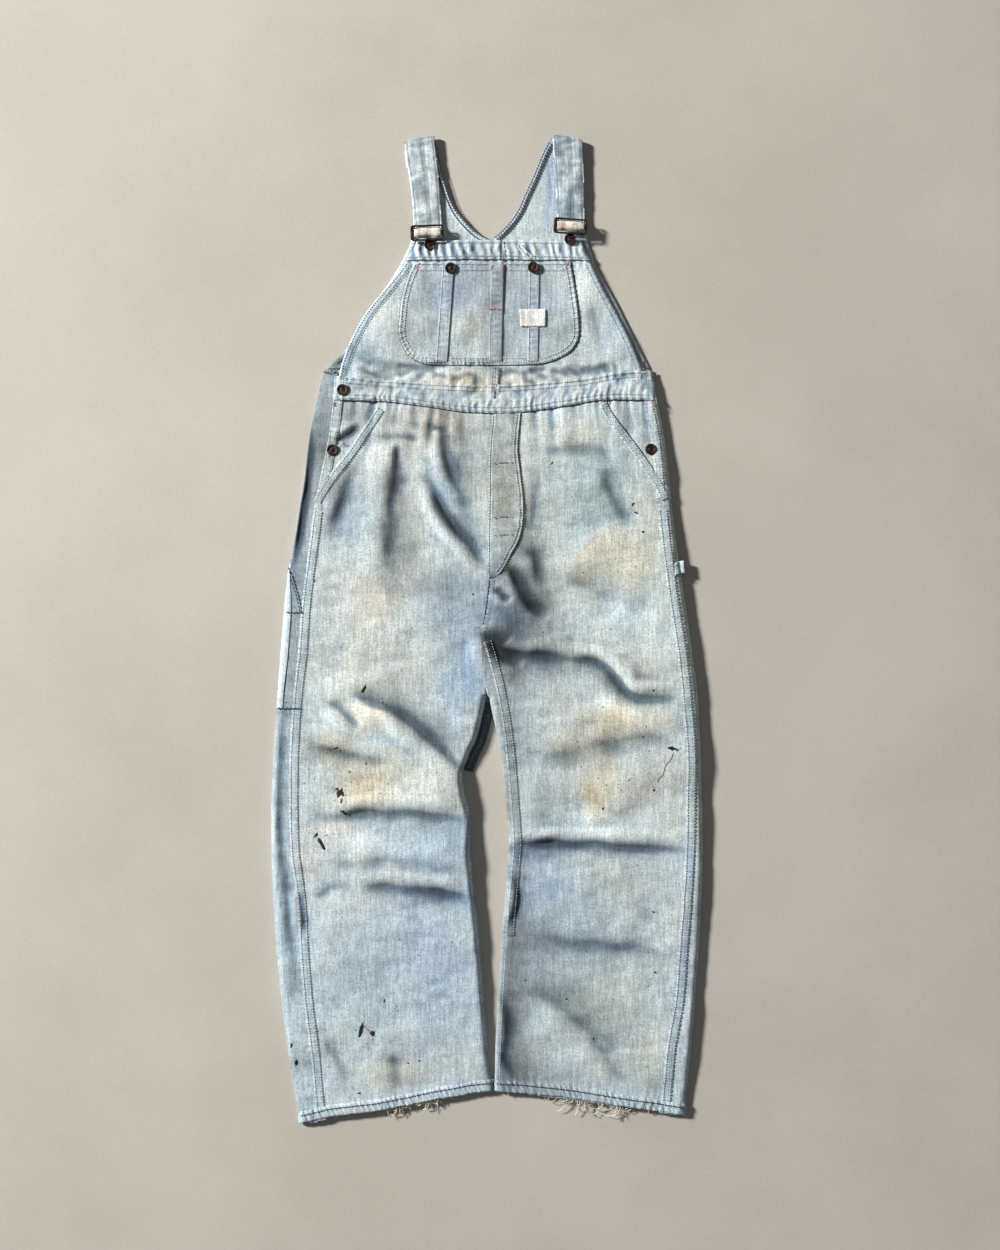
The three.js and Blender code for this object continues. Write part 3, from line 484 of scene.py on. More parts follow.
def normals_of(height, x, y):
    e = 0.7
    nx = (height(x - e, y) - height(x + e, y)) / (2 * e)
    ny = (height(x, y - e) - height(x, y + e)) / (2 * e)
    n = np.stack([nx, ny, np.ones_like(nx)], axis=-1)
    return n / np.linalg.norm(n, axis=-1, keepdims=True)


def lifted(x, y, lift, height=body_z):
    """Points that lie the given distance off a surface."""
    n = normals_of(height, x, y)
    return np.stack([x, y, height(x, y)], axis=-1) + n * np.asarray(lift)[..., None]


# ---------------------------------------------------------------- colour of the worn denim
PALE = (196, 210, 217)
WHITE = (226, 229, 229)
BLUE = (146, 170, 196)
NAVY = (44, 56, 84)
# Broad darker and paler zones, mostly painted shade and painted highlights, in places the cloth's own tone:
# x, y, radius across, radius along, factor.
PAINTED_SHADE_AND_LIGHT = [
    (-20, 200, 22, 60, 0.82), (20, 200, 18, 70, 0.88), (-60, 284, 22, 18, 0.85), (-100, 140, 18, 34, 0.86),
    (-78, 54, 50, 18, 0.87), (60, 102, 24, 28, 0.76), (62, 62, 22, 26, 0.76), (60, 24, 24, 24, 0.66),
    (18, 72, 16, 20, 0.86), (22, -22, 22, 22, 0.52), (58, -26, 30, 18, 0.80), (104, -42, 34, 16, 0.86),
    (104, 58, 26, 20, 0.86), (-216, 240, 18, 42, 0.76), (-180, 264, 18, 22, 0.84), (-214, 170, 20, 30, 0.86),
    (-140, 222, 24, 24, 1.10), (-180, 140, 22, 22, 1.12), (-180, -100, 36, 20, 1.18),
    (-140, -142, 28, 20, 1.08), (180, -102, 34, 24, 1.18), (140, 20, 36, 30, 1.16), (218, -20, 22, 44, 1.09),
    (180, 20, 26, 26, 1.06), (-58, -142, 24, 20, 0.86), (104, 218, 26, 18, 1.12), (140, 214, 20, 26, 1.05),
    (-180, -262, 32, 22, 1.14), (-140, -300, 34, 22, 1.07), (182, -200, 34, 40, 1.09),
    (140, -262, 30, 20, 1.10), (222, -262, 24, 30, 1.07), (12, 420, 15, 50, 0.82), (-114, 374, 16, 30, 0.84),
    (-84, 420, 18, 34, 0.86), (96, 376, 18, 20, 0.88), (-20, 343, 92, 8, 0.86), (-146, 316, 26, 14, 0.86),
    (156, 376, 16, 28, 1.12), (-28, 486, 22, 14, 0.90), (126, 440, 14, 34, 1.10), (-140, 400, 20, 30, 1.06),
    (14, -26, 18, 26, 0.70), (46, 40, 20, 26, 0.80), (30, -400, 22, 56, 0.72), (30, -500, 22, 56, 0.52),
    (36, -568, 30, 26, 0.66), (24, -226, 15, 56, 0.62), (24, -120, 18, 50, 0.74), (76, -596, 56, 20, 0.82),
    (30, -326, 22, 34, 0.74), (73, -220, 13, 40, 0.84), (62, -400, 34, 34, 0.84), (-60, 182, 18, 18, 1.16),
    (-102, 100, 18, 20, 0.84), (36, -56, 18, 20, 0.66), (-124, 104, 12, 44, 0.76), (-126, 224, 14, 14, 1.14),
    (-72, 224, 14, 14, 1.14), (-72, 128, 12, 38, 1.09), (-42, 252, 12, 12, 0.76), (-166, 280, 20, 11, 0.78),
    (-198, 222, 18, 13, 0.86), (84, 280, 22, 14, 1.14), (112, 222, 24, 12, 1.12), (182, 180, 14, 20, 1.12),
    (42, 110, 12, 14, 0.80), (182, 82, 16, 14, 1.13), (-182, -70, 20, 14, 1.10), (-154, -98, 20, 12, 1.16),
    (-70, -60, 16, 40, 1.11), (-98, -126, 16, 12, 1.14), (-42, -122, 14, 14, 1.18),
    (-168, -232, 22, 13, 1.18), (-126, -212, 18, 14, 1.10), (-42, -236, 14, 14, 1.14),
    (154, -98, 16, 14, 1.17), (182, -98, 14, 12, 1.12), (126, -238, 18, 14, 1.16), (154, -292, 22, 11, 1.14),
    (-238, -100, 10, 40, 0.86), (98, -22, 20, 14, 0.90),
]
# Stains and faded zones, with painted shade in the entries marked so: x, y, radius across, radius along, turn
# in degrees, tint, strength.
STAINS_AND_FOLD_SHADE = [
    # bib and pocket
    (0, 408, 118, 62, 0, (172, 188, 204), 0.55),
    (-45, 440, 34, 26, 20, (146, 164, 194), 0.6),
    (62, 425, 34, 30, 0, (152, 170, 196), 0.55),
    (-20, 384, 26, 24, 0, (206, 209, 198), 0.75),
    (-70, 460, 30, 12, 0, (190, 200, 210), 0.4),
    (-160, 352, 22, 20, 30, BLUE, 0.6),
    (-136, 336, 24, 10, 0, (158, 178, 200), 0.5),
    (140, 352, 20, 34, 10, (190, 204, 216), 0.4),
    (168, 372, 12, 30, 30, BLUE, 0.35),
    (-130, 400, 20, 34, -30, WHITE, 0.45),
    (142, 430, 16, 30, 20, WHITE, 0.4),
    # waist
    (-20, 325, 80, 12, 0, (210, 205, 192), 0.7),
    (-25, 320, 34, 12, 0, (204, 192, 168), 0.65),
    (70, 322, 60, 14, 0, (206, 204, 196), 0.5),
    (-150, 318, 45, 14, 0, (196, 206, 210), 0.5),
    (170, 312, 40, 16, 0, (196, 208, 216), 0.5),
    (150, 346, 40, 9, 0, (168, 180, 186), 0.4),
    # upper left leg
    (-92, 247, 55, 36, 0, (196, 194, 188), 0.75),
    (-58, 268, 26, 16, 0, (180, 166, 146), 0.6),
    (-140, 205, 30, 34, 0, (198, 200, 198), 0.5),
    (-38, 152, 16, 46, 28, (136, 162, 188), 0.75),
    (-66, 205, 10, 30, 10, (150, 160, 172), 0.5),
    (-184, 152, 28, 34, 0, (148, 166, 194), 0.65),
    # painted shade along the crease at x -120
    (-119, 160, 13, 74, -4, (158, 160, 160), 0.7),
    (-85, 120, 18, 60, 0, (206, 206, 200), 0.5),
    (-150, 40, 44, 42, 0, (216, 208, 190), 0.6),
    (-200, 60, 30, 40, 0, (196, 198, 196), 0.5),
    (-45, 40, 42, 36, 0, (160, 178, 198), 0.6),
    (-95, 70, 34, 24, 0, (176, 180, 180), 0.5),
    (-20, 8, 26, 26, 0, (150, 174, 204), 0.6),
    # fly and upper right leg
    (26, 190, 21, 100, 0, (180, 180, 171), 0.85),
    (24, 98, 16, 24, -15, (166, 178, 186), 0.5),
    (197, 262, 26, 26, 0, (156, 176, 196), 0.6),
    (100, 256, 50, 18, 0, (204, 200, 188), 0.5),
    (110, 218, 50, 20, 0, (178, 182, 176), 0.55),
    (70, 150, 22, 50, 0, (186, 192, 194), 0.5),
    (210, 160, 18, 60, 20, (204, 206, 200), 0.6),
    # painted shadow of the deep fold by the crotch
    (36, 14, 30, 56, 22, (84, 102, 124), 0.85),
    (78, 34, 30, 14, -35, (120, 138, 158), 0.5),
    (100, 40, 40, 30, 0, (190, 198, 200), 0.4),
    # left thigh, knee and shin
    (-160, -50, 62, 44, 0, (206, 204, 194), 0.6),
    (-90, -50, 34, 50, 0, (186, 192, 194), 0.45),
    (-28, -62, 30, 46, 0, (146, 174, 210), 0.75),
    (-160, -112, 36, 18, -12, (222, 208, 184), 0.7),
    (-196, -160, 34, 24, 0, (206, 188, 156), 0.6),
    (-150, -196, 40, 28, 0, (226, 208, 178), 0.75),
    (-165, -222, 30, 13, 0, (222, 202, 170), 0.6),
    (-80, -200, 40, 26, 0, (208, 208, 202), 0.5),
    (-40, -130, 22, 30, -40, (150, 166, 184), 0.5),
    (-70, -262, 70, 16, 0, (158, 184, 208), 0.6),
    (-195, -266, 34, 22, 0, (214, 206, 192), 0.6),
    (-236, -300, 18, 26, 0, (222, 208, 196), 0.5),
    (-63, -292, 50, 18, 0, (156, 178, 210), 0.6),
    (-130, -310, 50, 12, 0, (196, 200, 200), 0.5),
    (-170, -352, 40, 18, 0, (208, 212, 212), 0.5),
    # painted shade along the crease at y -340, partly the darker dye it kept
    (-66, -344, 66, 11, -3, (106, 130, 160), 0.65),
    (-63, -422, 50, 66, 0, (158, 176, 208), 0.65),
    (-110, -380, 40, 24, 0, (156, 176, 200), 0.5),
    (-171, -430, 54, 60, 0, (174, 188, 196), 0.6),
    (-70, -510, 46, 36, 0, (170, 184, 196), 0.5),
    (-150, -540, 54, 36, 0, (178, 190, 196), 0.5),
    (-200, -580, 20, 30, 0, (160, 176, 194), 0.5),
    (-118, -578, 56, 20, 0, (208, 205, 190), 0.7),
    (-40, -560, 34, 26, 0, (200, 203, 196), 0.5),
    # right thigh, knee and shin
    (60, -52, 46, 22, -10, (142, 162, 184), 0.6),
    (130, -20, 60, 28, 0, (200, 204, 202), 0.5),
    (205, -50, 40, 30, 0, (206, 204, 196), 0.5),
    (50, -130, 24, 60, 0, (160, 180, 200), 0.6),
    (90, -95, 40, 26, 0, (192, 194, 192), 0.5),
    (160, -118, 34, 22, 0, (184, 168, 142), 0.7),
    (120, -150, 40, 22, 0, (206, 198, 178), 0.6),
    (215, -115, 30, 20, 0, (208, 198, 176), 0.5),
    (150, -200, 24, 40, 0, (210, 200, 172), 0.65),
    (135, -215, 14, 20, 0, (190, 170, 130), 0.5),
    (197, -212, 22, 32, 0, (170, 163, 158), 0.55),
    (100, -220, 26, 34, 0, (190, 200, 204), 0.5),
    (235, -200, 22, 46, 0, (204, 204, 198), 0.5),
    # painted shade along the right knee crease, partly the darker dye it kept
    (110, -285, 130, 10, 0, (112, 128, 146), 0.55),
    (60, -288, 44, 12, 0, (84, 104, 134), 0.55),
    (67, -336, 42, 50, 0, (150, 170, 194), 0.7),
    (175, -327, 56, 34, 0, (182, 188, 182), 0.6),
    (229, -256, 28, 18, 0, WHITE, 0.5),
    (245, -370, 16, 44, 0, (204, 206, 202), 0.5),
    (120, -395, 80, 26, 0, (160, 174, 186), 0.5),
    # painted shade along the crease at y -410, partly the darker dye it kept
    (140, -411, 90, 10, -3, (138, 156, 174), 0.5),
    (125, -495, 60, 46, -30, (192, 198, 190), 0.7),
    (70, -440, 34, 40, 0, (160, 176, 192), 0.5),
    (190, -480, 40, 60, 0, (190, 197, 190), 0.5),
    (205, -560, 36, 36, 0, (200, 201, 188), 0.6),
    (150, -570, 30, 14, 0, (208, 208, 196), 0.5),
    (60, -560, 40, 34, -30, (198, 200, 190), 0.5),
    (24, -560, 12, 60, 0, (112, 134, 164), 0.6),
    (244, -560, 12, 46, 0, (156, 174, 204), 0.5),
    (265, -480, 12, 130, 0, (156, 174, 206), 0.5),
    (-262, -200, 14, 260, 0, (176, 194, 212), 0.5),
    (-250, 110, 16, 110, 0, (170, 190, 206), 0.5),
]
SHADOW_TINT = np.array((0.56, 0.63, 0.70))  # what the cloth's colour is multiplied by in its hollows: painted shade, partly the bluer dye kept there
FOLD_SHADOW_TINT = np.array((0.36, 0.39, 0.41))  # and deep in a fold, as painted shade


def with_stains_and_fold_shade(x, y):
    """The cloth's colour with its stains and faded zones and some painted shade along creases and by the
    crotch, whose outlines wander a little.
    """
    u = x + 8 * noise(x, y, 30, 30, 51) + 4 * noise(x, y, 11, 11, 52)
    v = y + 8 * noise(x, y, 30, 30, 53) + 4 * noise(x, y, 11, 11, 54)
    colour = np.ones(x.shape + (3,)) * np.array(PALE, float)
    for cx, cy, rx, ry, turn, tint, strength in STAINS_AND_FOLD_SHADE:
        c, s = math.cos(math.radians(turn)), math.sin(math.radians(turn))
        across, along = ((u - cx) * c + (v - cy) * s) / rx, ((v - cy) * c - (u - cx) * s) / ry
        colour = toward(colour, tint, strength * np.exp(-((across**2 + along**2) ** 1.2)))
    # The hip's blue patch ends at a sharp slanted tide mark, with a cream one below it.
    over = (v - 132) * 0.87 - (u - 160) * 0.49
    blue = spot(u, v, 152, 178, 44, 58, power_y=4) * step_between(over, -4, 4)
    colour = toward(colour, (146, 171, 181), 0.85 * blue)
    cream = spot(u, v, 160, 92, 55, 36, power_x=4, power_y=4) * step_between(-over, -2, 8)
    return toward(colour, (216, 208, 186), 0.75 * cream)


def faded(colour, x, y, seed):
    """Uneven bleaching, a little less blue, and warmer from the knees up."""
    fade = noise(x, y, 46, 70, 61) + 0.6 * noise(x, y, 17, 26, 62) + 0.35 * noise(x, y, 5, 40, 63 + seed)
    colour = colour + fade[..., None] * np.array((7.0, 4.5, 1.0))
    grey = colour.mean(axis=-1, keepdims=True)
    colour = mix(colour, grey * np.array((0.985, 1.0, 1.0)), 0.12) * np.array((0.975, 0.985, 0.985))
    upper = step_between(y, -340, -200)[..., None]
    return colour * mix(np.ones(3), np.array((1.014, 1.0, 0.975)), upper)


def denim_colour(x, y, edge=0.0, seed=50):
    """Colour of the cloth's face at each place, 0 to 255 as seen, with painted shade in its hollows and
    creases and broad painted shade and highlights. edge is 0 to 1, for worn pale edges.
    """
    x, y = np.asarray(x, float), np.asarray(y, float)
    colour = faded(with_stains_and_fold_shade(x, y), x, y, seed)
    fine, low, wide = sample(FINE, x, y), sample(CAVITY, x, y), sample(BROAD, x, y)
    # Painted shade in the hollows, partly the bluer dye kept there.
    shade = np.clip(-fine * 1.1, 0, 0.5) + np.clip(-low * 0.16, 0, 0.3) + np.clip(-wide * 0.07, 0, 0.25)
    colour = mix(colour, colour * SHADOW_TINT, np.clip(shade, 0, 0.8)[..., None])
    # Painted shade deep in the creases.
    fold = np.clip(sample(FOLD_SHADE_GRID, x, y), 0, 1)
    colour = mix(colour, colour * FOLD_SHADOW_TINT, (0.62 * fold)[..., None])
    # Broad painted shade and painted highlights.
    for cx, cy, rx, ry, factor in PAINTED_SHADE_AND_LIGHT:
        colour = colour * (1 + (factor - 1) * spot(x, y, cx, cy, rx, ry))[..., None]
    light = np.clip(fine * 0.7, 0, 0.35) + np.clip(low * 0.10, 0, 0.2) + 0.5 * np.asarray(edge)
    return toward(colour, (214, 219, 220), np.clip(light, 0, 0.7))


def linear(colour):
    """A colour as seen, 0 to 255, as light, 0 to 1."""
    c = np.clip(np.asarray(colour, float) / 255, 0, 1)
    return np.where(c < 0.04045, c / 12.92, ((c + 0.055) / 1.055) ** 2.4)


# ---------------------------------------------------------------- materials
class Finish:
    """A material under construction: its nodes, its links and its shader."""

    def __init__(self, name):
        self.material = bpy.data.materials.new(name)
        self.material.use_nodes = True
        tree = self.material.node_tree
        self.nodes, self.links, self.shader = tree.nodes, tree.links, tree.nodes["Principled BSDF"]

    def placed(self, scale):
        """Object coordinates in metres, scaled along each axis."""
        coordinates = self.nodes.new("ShaderNodeTexCoord")
        mapping = self.nodes.new("ShaderNodeMapping")
        mapping.inputs["Scale"].default_value = scale
        self.links.new(coordinates.outputs["Object"], mapping.inputs["Vector"])
        return mapping.outputs["Vector"]

    def noise(self, scale, detail, rough):
        texture = self.nodes.new("ShaderNodeTexNoise")
        for name, number in (("Scale", 1.0), ("Detail", detail), ("Roughness", rough)):
            texture.inputs[name].default_value = number
        self.links.new(self.placed(scale), texture.inputs["Vector"])
        return texture.outputs["Fac"]

    def twill(self, scale):
        """The diagonal lines of a twill weave."""
        texture = self.nodes.new("ShaderNodeTexWave")
        for name, number in (("Scale", 1.0), ("Distortion", 1.2), ("Detail Scale", 2.0)):
            texture.inputs[name].default_value = number
        texture.wave_type = "BANDS"
        texture.bands_direction = "DIAGONAL"
        self.links.new(self.placed(scale), texture.inputs["Vector"])
        return texture.outputs["Fac"]

    def ranged(self, value, low, high, out_low, out_high):
        node = self.nodes.new("ShaderNodeMapRange")
        for name, number in zip(("From Min", "From Max", "To Min", "To Max"), (low, high, out_low, out_high)):
            node.inputs[name].default_value = number
        self.links.new(value, node.inputs["Value"])
        return node.outputs["Result"]

    def combined(self, a, b, operation):
        node = self.nodes.new("ShaderNodeMath")
        node.operation = operation
        self.links.new(a, node.inputs[0])
        self.links.new(b, node.inputs[1])
        return node.outputs["Value"]

    def own_colour(self):
        """The colour at each point of the piece."""
        own = self.nodes.new("ShaderNodeAttribute")
        own.attribute_name = "Col"
        return own.outputs["Color"]

    def ramp(self, value, stops):
        node = self.nodes.new("ShaderNodeValToRGB")
        elements = node.color_ramp.elements
        while len(elements) < len(stops):
            elements.new(0.5)
        for element, (place, colour) in zip(elements, stops):
            element.position = place
            element.color = (*linear(colour), 1)
        self.links.new(value, node.inputs["Fac"])
        return node.outputs["Color"]

    def paint(self, colour, factor):
        """The base colour, scaled by a factor that varies over the surface."""
        node = self.nodes.new("ShaderNodeVectorMath")
        node.operation = "SCALE"
        self.links.new(colour, node.inputs[0])
        self.links.new(factor, node.inputs["Scale"])
        self.links.new(node.outputs["Vector"], self.shader.inputs["Base Color"])

    def feed(self, socket, value):
        self.links.new(value, self.shader.inputs[socket])

    def bump(self, height, strength, distance):
        node = self.nodes.new("ShaderNodeBump")
        node.inputs["Strength"].default_value = strength
        node.inputs["Distance"].default_value = distance
        self.links.new(height, node.inputs["Height"])
        self.feed("Normal", node.outputs["Normal"])


def denim():
    """Worn denim: the piece's own colour, with a twill weave, uneven yarns and a rough matt face."""
    f = Finish("worn_denim")
    own = f.own_colour()
    slub = f.noise((520, 40, 40), 3.0, 0.65)
    weft = f.noise((80, 520, 90), 2.0, 0.6)
    grain = f.noise((400, 400, 400), 3.0, 0.75)
    mottle = f.noise((95, 70, 80), 4.0, 0.65)
    twill = f.twill((260, 420, 300))
    factor = f.ranged(slub, 0.35, 0.65, 0.80, 1.18)
    for value, low, high, out_low, out_high in (
        (grain, 0.35, 0.65, 0.74, 1.24), (mottle, 0.35, 0.65, 0.93, 1.07), (weft, 0.35, 0.65, 0.94, 1.06),
        (twill, 0.0, 1.0, 0.95, 1.03),
    ):
        factor = f.combined(factor, f.ranged(value, low, high, out_low, out_high), "MULTIPLY")
    f.paint(own, factor)
    f.feed("Roughness", f.ranged(mottle, 0.3, 0.7, 0.84, 0.97))
    f.bump(f.combined(f.combined(slub, grain, "ADD"), twill, "ADD"), 0.35, 0.0006)
    for name, number in (("Sheen Weight", 0.05), ("Sheen Roughness", 0.6), ("Specular IOR Level", 0.2)):
        f.shader.inputs[name].default_value = number
    return f.material


def thread_material():
    """Sewing thread, paler and darker along its twist."""
    f = Finish("sewing_thread")
    own = f.own_colour()
    twist = f.noise((1500, 1500, 1500), 2.0, 0.6)
    f.paint(own, f.ranged(twist, 0.3, 0.7, 0.75, 1.2))
    f.feed("Roughness", f.ranged(twist, 0.3, 0.7, 0.7, 0.9))
    return f.material


def rusted():
    """Brown, rusted metal with worn high spots."""
    f = Finish("rusty_metal")
    patches = f.noise((210, 210, 210), 5.0, 0.65)
    pits = f.noise((900, 900, 900), 3.0, 0.7)
    stops = ((0.30, (24, 17, 15)), (0.52, (46, 30, 25)), (0.66, (74, 46, 36)), (0.80, (120, 92, 74)))
    f.paint(f.ramp(patches, stops), f.ranged(pits, 0.3, 0.7, 0.7, 1.25))
    f.feed("Roughness", f.ranged(patches, 0.3, 0.7, 0.38, 0.75))
    f.feed("Metallic", f.ranged(patches, 0.35, 0.65, 0.75, 0.2))
    f.bump(f.combined(patches, pits, "ADD"), 0.5, 0.0004)
    return f.material


def paint_material():
    """Dried dark paint, crusted and dusty."""
    f = Finish("dried_paint")
    own = f.own_colour()
    crust = f.noise((700, 700, 700), 4.0, 0.7)
    f.paint(own, f.ranged(crust, 0.3, 0.7, 0.6, 1.5))
    f.feed("Roughness", f.ranged(crust, 0.3, 0.7, 0.35, 0.75))
    f.bump(crust, 0.6, 0.0004)
    return f.material


DENIM, THREAD, RUST, PAINT = denim(), thread_material(), rusted(), paint_material()


def make(name, points, faces, colours, material, nodes=()):
    """A piece from points in millimetres, with a colour at each point."""
    mesh = bpy.data.meshes.new(name)
    faces = faces.tolist() if isinstance(faces, np.ndarray) else faces
    mesh.from_pydata((np.asarray(points).reshape(-1, 3) * MM).tolist(), [], faces)
    mesh.polygons.foreach_set("use_smooth", np.ones(len(mesh.polygons), bool))
    if colours is not None:
        layer = mesh.color_attributes.new("Col", "FLOAT_COLOR", "POINT")
        full = np.ones((len(mesh.vertices), 4), np.float32)
        full[:, :3] = linear(np.asarray(colours).reshape(-1, 3))
        layer.data.foreach_set("color", full.ravel())
    mesh.materials.append(material)
    piece = bpy.data.objects.new(name + "_look", mesh)
    bpy.context.scene.collection.objects.link(piece)
    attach(piece, "root")
    if nodes:
        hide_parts(*nodes)
    return piece


def grid_faces(rows, columns):
    i, j = np.meshgrid(np.arange(rows - 1), np.arange(columns - 1), indexing="ij")
    a = (i * columns + j).ravel()
    return np.stack([a, a + 1, a + 1 + columns, a + columns], axis=1)


def rimmed(grid, down, sides):
    """The grid with its chosen sides turned down by that much, as the cut or folded edge of cloth."""
    for side in sides:
        axis = 1 if side in "lr" else 0
        first = side in "lb"
        edge, next_in = (np.take(grid, k if first else -1 - k, axis=axis) for k in (0, 1))
        way = edge - next_in
        way[..., 2] = 0
        way = way / np.maximum(np.linalg.norm(way, axis=-1, keepdims=True), 1e-6) * 0.3
        deep = np.minimum(down, edge[..., 2] - 0.15)
        turned, bottom = edge + way, edge + way * 0.9
        turned[..., 2] = edge[..., 2] - 0.35 * deep
        bottom[..., 2] = edge[..., 2] - deep
        turned, bottom = np.expand_dims(turned, axis), np.expand_dims(bottom, axis)
        grid = np.concatenate([bottom, turned, grid] if first else [grid, turned, bottom], axis=axis)
    return grid


def beside(values, sides, **fill):
    """A grid of values with the rows and columns that rimmed adds."""
    width = [(2 * ("b" in sides), 2 * ("t" in sides)), (2 * ("l" in sides), 2 * ("r" in sides))]
    return np.pad(values, width, **(fill or {"mode": "edge"}))


def edge_wear(grid, full, edge, seed):
    """How worn the cloth is along the named edges: white on the edge, gone a few millimetres in."""
    rows, columns = full.shape[:2]
    i, j = np.meshgrid(np.arange(rows), np.arange(columns), indexing="ij")
    step_y = np.linalg.norm(grid[1:, 0] - grid[:-1, 0], axis=-1).mean()
    step_x = np.linalg.norm(grid[0, 1:] - grid[0, :-1], axis=-1).mean()
    away = {"l": j * step_x, "r": (columns - 1 - j) * step_x, "b": i * step_y, "t": (rows - 1 - i) * step_y}
    near = np.min([away[side] for side in edge], axis=0)
    return 0.6 * bell(near, 2.6) * (0.5 + 0.5 * noise(full[..., 0], full[..., 1], 6, 6, seed))


def cloth_piece(
    name, grid, slot, nodes=(), down=1.2, sides="lrbt", edge="", tint=None, seed=50, wave=None, rim=0.5
):
    """A sheet of denim from a grid of points. wave, -1 to 1, darkens its valleys and whitens its ridges. rim
    darkens its turned edges into a dark outline: painted shade under them, partly dark thread.
    """
    full = rimmed(grid, down, sides)
    x, y = full[..., 0], full[..., 1]
    worn = edge_wear(grid, full, edge, seed) if edge else 0.0
    colours = denim_colour(x, y, worn, seed)
    if wave is not None:
        swing = beside(wave, sides)
        valleys = np.clip(-0.85 * swing, 0, 0.8)[..., None]
        colours = mix(colours, colours * np.array((0.56, 0.66, 0.80)), valleys)
        colours = toward(colours, (222, 226, 226), np.clip(0.45 * swing, 0, 0.5))
    # Painted shade: the turned edges darkened into a dark outline, partly standing in for dark thread.
    turned = beside(np.zeros(grid.shape[:2]), sides, constant_values=1.0)
    colours = toward(colours, (62, 76, 102), rim * turned)
    if tint is not None:
        colours = tint(colours, x, y)
    return make(name, full, grid_faces(*full.shape[:2]), colours, DENIM, nodes)


def rows_between(left, right, ends_low, ends_high, step, columns, power=1.0):
    """x and y of rows between two lines that climb in y, from one slanting line to another."""
    rows = max(int(round(abs(ends_high[0] - ends_low[0]) / step)), 2) + 1
    v = np.linspace(0, 1, rows)[:, None] ** power
    t = np.linspace(0, 1, columns + 1)[None, :]
    y_left, y_right = mix(ends_low[0], ends_high[0], v), mix(ends_low[1], ends_high[1], v)
    x = mix(x_at(left, y_left), x_at(right, y_right), t)
    return x, mix(y_left, y_right, t)


def ripples(points, across, length=6.5):
    """The puckers of a sewn band with that many points, as a grid from -1 to 1."""
    s = np.concatenate([[0], np.cumsum(np.hypot(*np.diff(points, axis=0).T))])[:, None]
    t = np.linspace(0, 1, across)[None, :]
    lean = s + 2.0 * np.sin(3 * t)
    return pucker(lean, length, len(points) % 97) * (0.55 + 0.45 * np.cos(2 * np.pi * t))


def strip_grid(line, low, high, lift, step, across, height=body_z, bulge=0.25):
    """A band of cloth along a line, from one sideways distance to another, its face lift above a surface."""
    points, _ = even(line, step)
    t = np.linspace(0, 1, across)
    shape = 1 - np.abs(2 * t - 1) ** 6
    xy = np.stack([offset(points, mix(low, high, share)) for share in t], axis=1)
    if high > low:
        xy = xy[:, ::-1]
    edge = np.minimum(1, 3.2 * np.minimum(t, 1 - t)) ** 0.7
    lifts = (lift * (0.25 + 0.75 * shape) + bulge * shape) * (0.1 + 0.9 * edge)
    lifts = lifts + 0.4 * ripples(points, across) * edge
    lifts[[0, -1]] *= 0.8
    return lifted(xy[..., 0], xy[..., 1], lifts, height)


def sewn_band(name, line, low, high, lift, step, across, strength, down=1.4, **looks):
    """A puckered band of trim cloth along a line, open at its long sides' ends and worn along its edges."""
    grid = strip_grid(line, low, high, lift, step, across)
    wave = strength * ripples(even(line, step)[0], across)
    cloth_piece(name, grid, "trim_denim", [name], down, "bt", edge="lr", wave=wave, **looks)


# ---------------------------------------------------------------- legs
HEM = {"left": (-636, -599), "right": (-599, -627)}
TOP_OUT, TOP_IN = 311, 297
UNDERSIDE = 0.12  # height of the back legs' flat faces
TURNS = (-75, -50, -25, 0, 25)  # where the points of a rolled edge lie, in degrees


def front_legs():
    for name, low, high, left, right, slant, side in (
        ("front_leg_left", HEM["left"], (TOP_OUT, TOP_IN), outseam_left, centre_left, slant_left, -1),
        ("front_leg_right", HEM["right"], (TOP_IN, TOP_OUT), centre_right, outseam_right, slant_right, 1),
    ):
        x, y = rows_between(left, right, low, high, 2.0, 118)
        x = cut_slant(x, y, slant, side)
        outer = "l" if side < 0 else "r"
        cloth_piece(name, lifted(x, y, 0 * x), "leg_denim", [name], 1.8, outer + "b", edge=outer)


def cut_slant(x, y, slant, side):
    """x of a front leg's grid, with its outer edge following the slanted pocket mouth above the outseam."""
    outer, inner = (0, -1) if side < 0 else (-1, 0)
    bottom, top = slant[:, 1].min(), slant[:, 1].max()
    mouth = x_at(slant[::-1], np.clip(y[:, outer], None, top))
    edge, fixed = x[:, outer], x[:, inner][:, None]
    cut = (y[:, outer] > bottom) & ((mouth - edge) * side < 0)
    share = (x - fixed) / (edge[:, None] - fixed)
    return fixed + share * (np.where(cut, mouth, edge)[:, None] - fixed)


def rolled(edge, y, side, radius, turns):
    """Columns of points round a leg's edge, which lies furthest out at a turn of 0."""
    columns = []
    for turn in turns:
        a = math.radians(turn)
        x = edge - side * (radius - radius * math.cos(a))
        columns.append(np.stack([x, y, 0 * y + 1.5 + 1.38 * math.sin(a)], axis=1))
    return columns


def back_leg_tone(x, y, side):
    """The left back is darker above the knee and where it turns at its outer edge; the right one is even."""
    if side > 0:
        return np.array((1.04, 1.03, 1.0))
    upper = step_between(y, -240, -60)[..., None]
    tone = mix(np.array((0.93, 0.95, 0.96)), np.array((0.80, 0.81, 0.83)), upper)
    return tone * (1 - 0.2 * bell(x - x_at(outer_left, y), 6))[..., None]


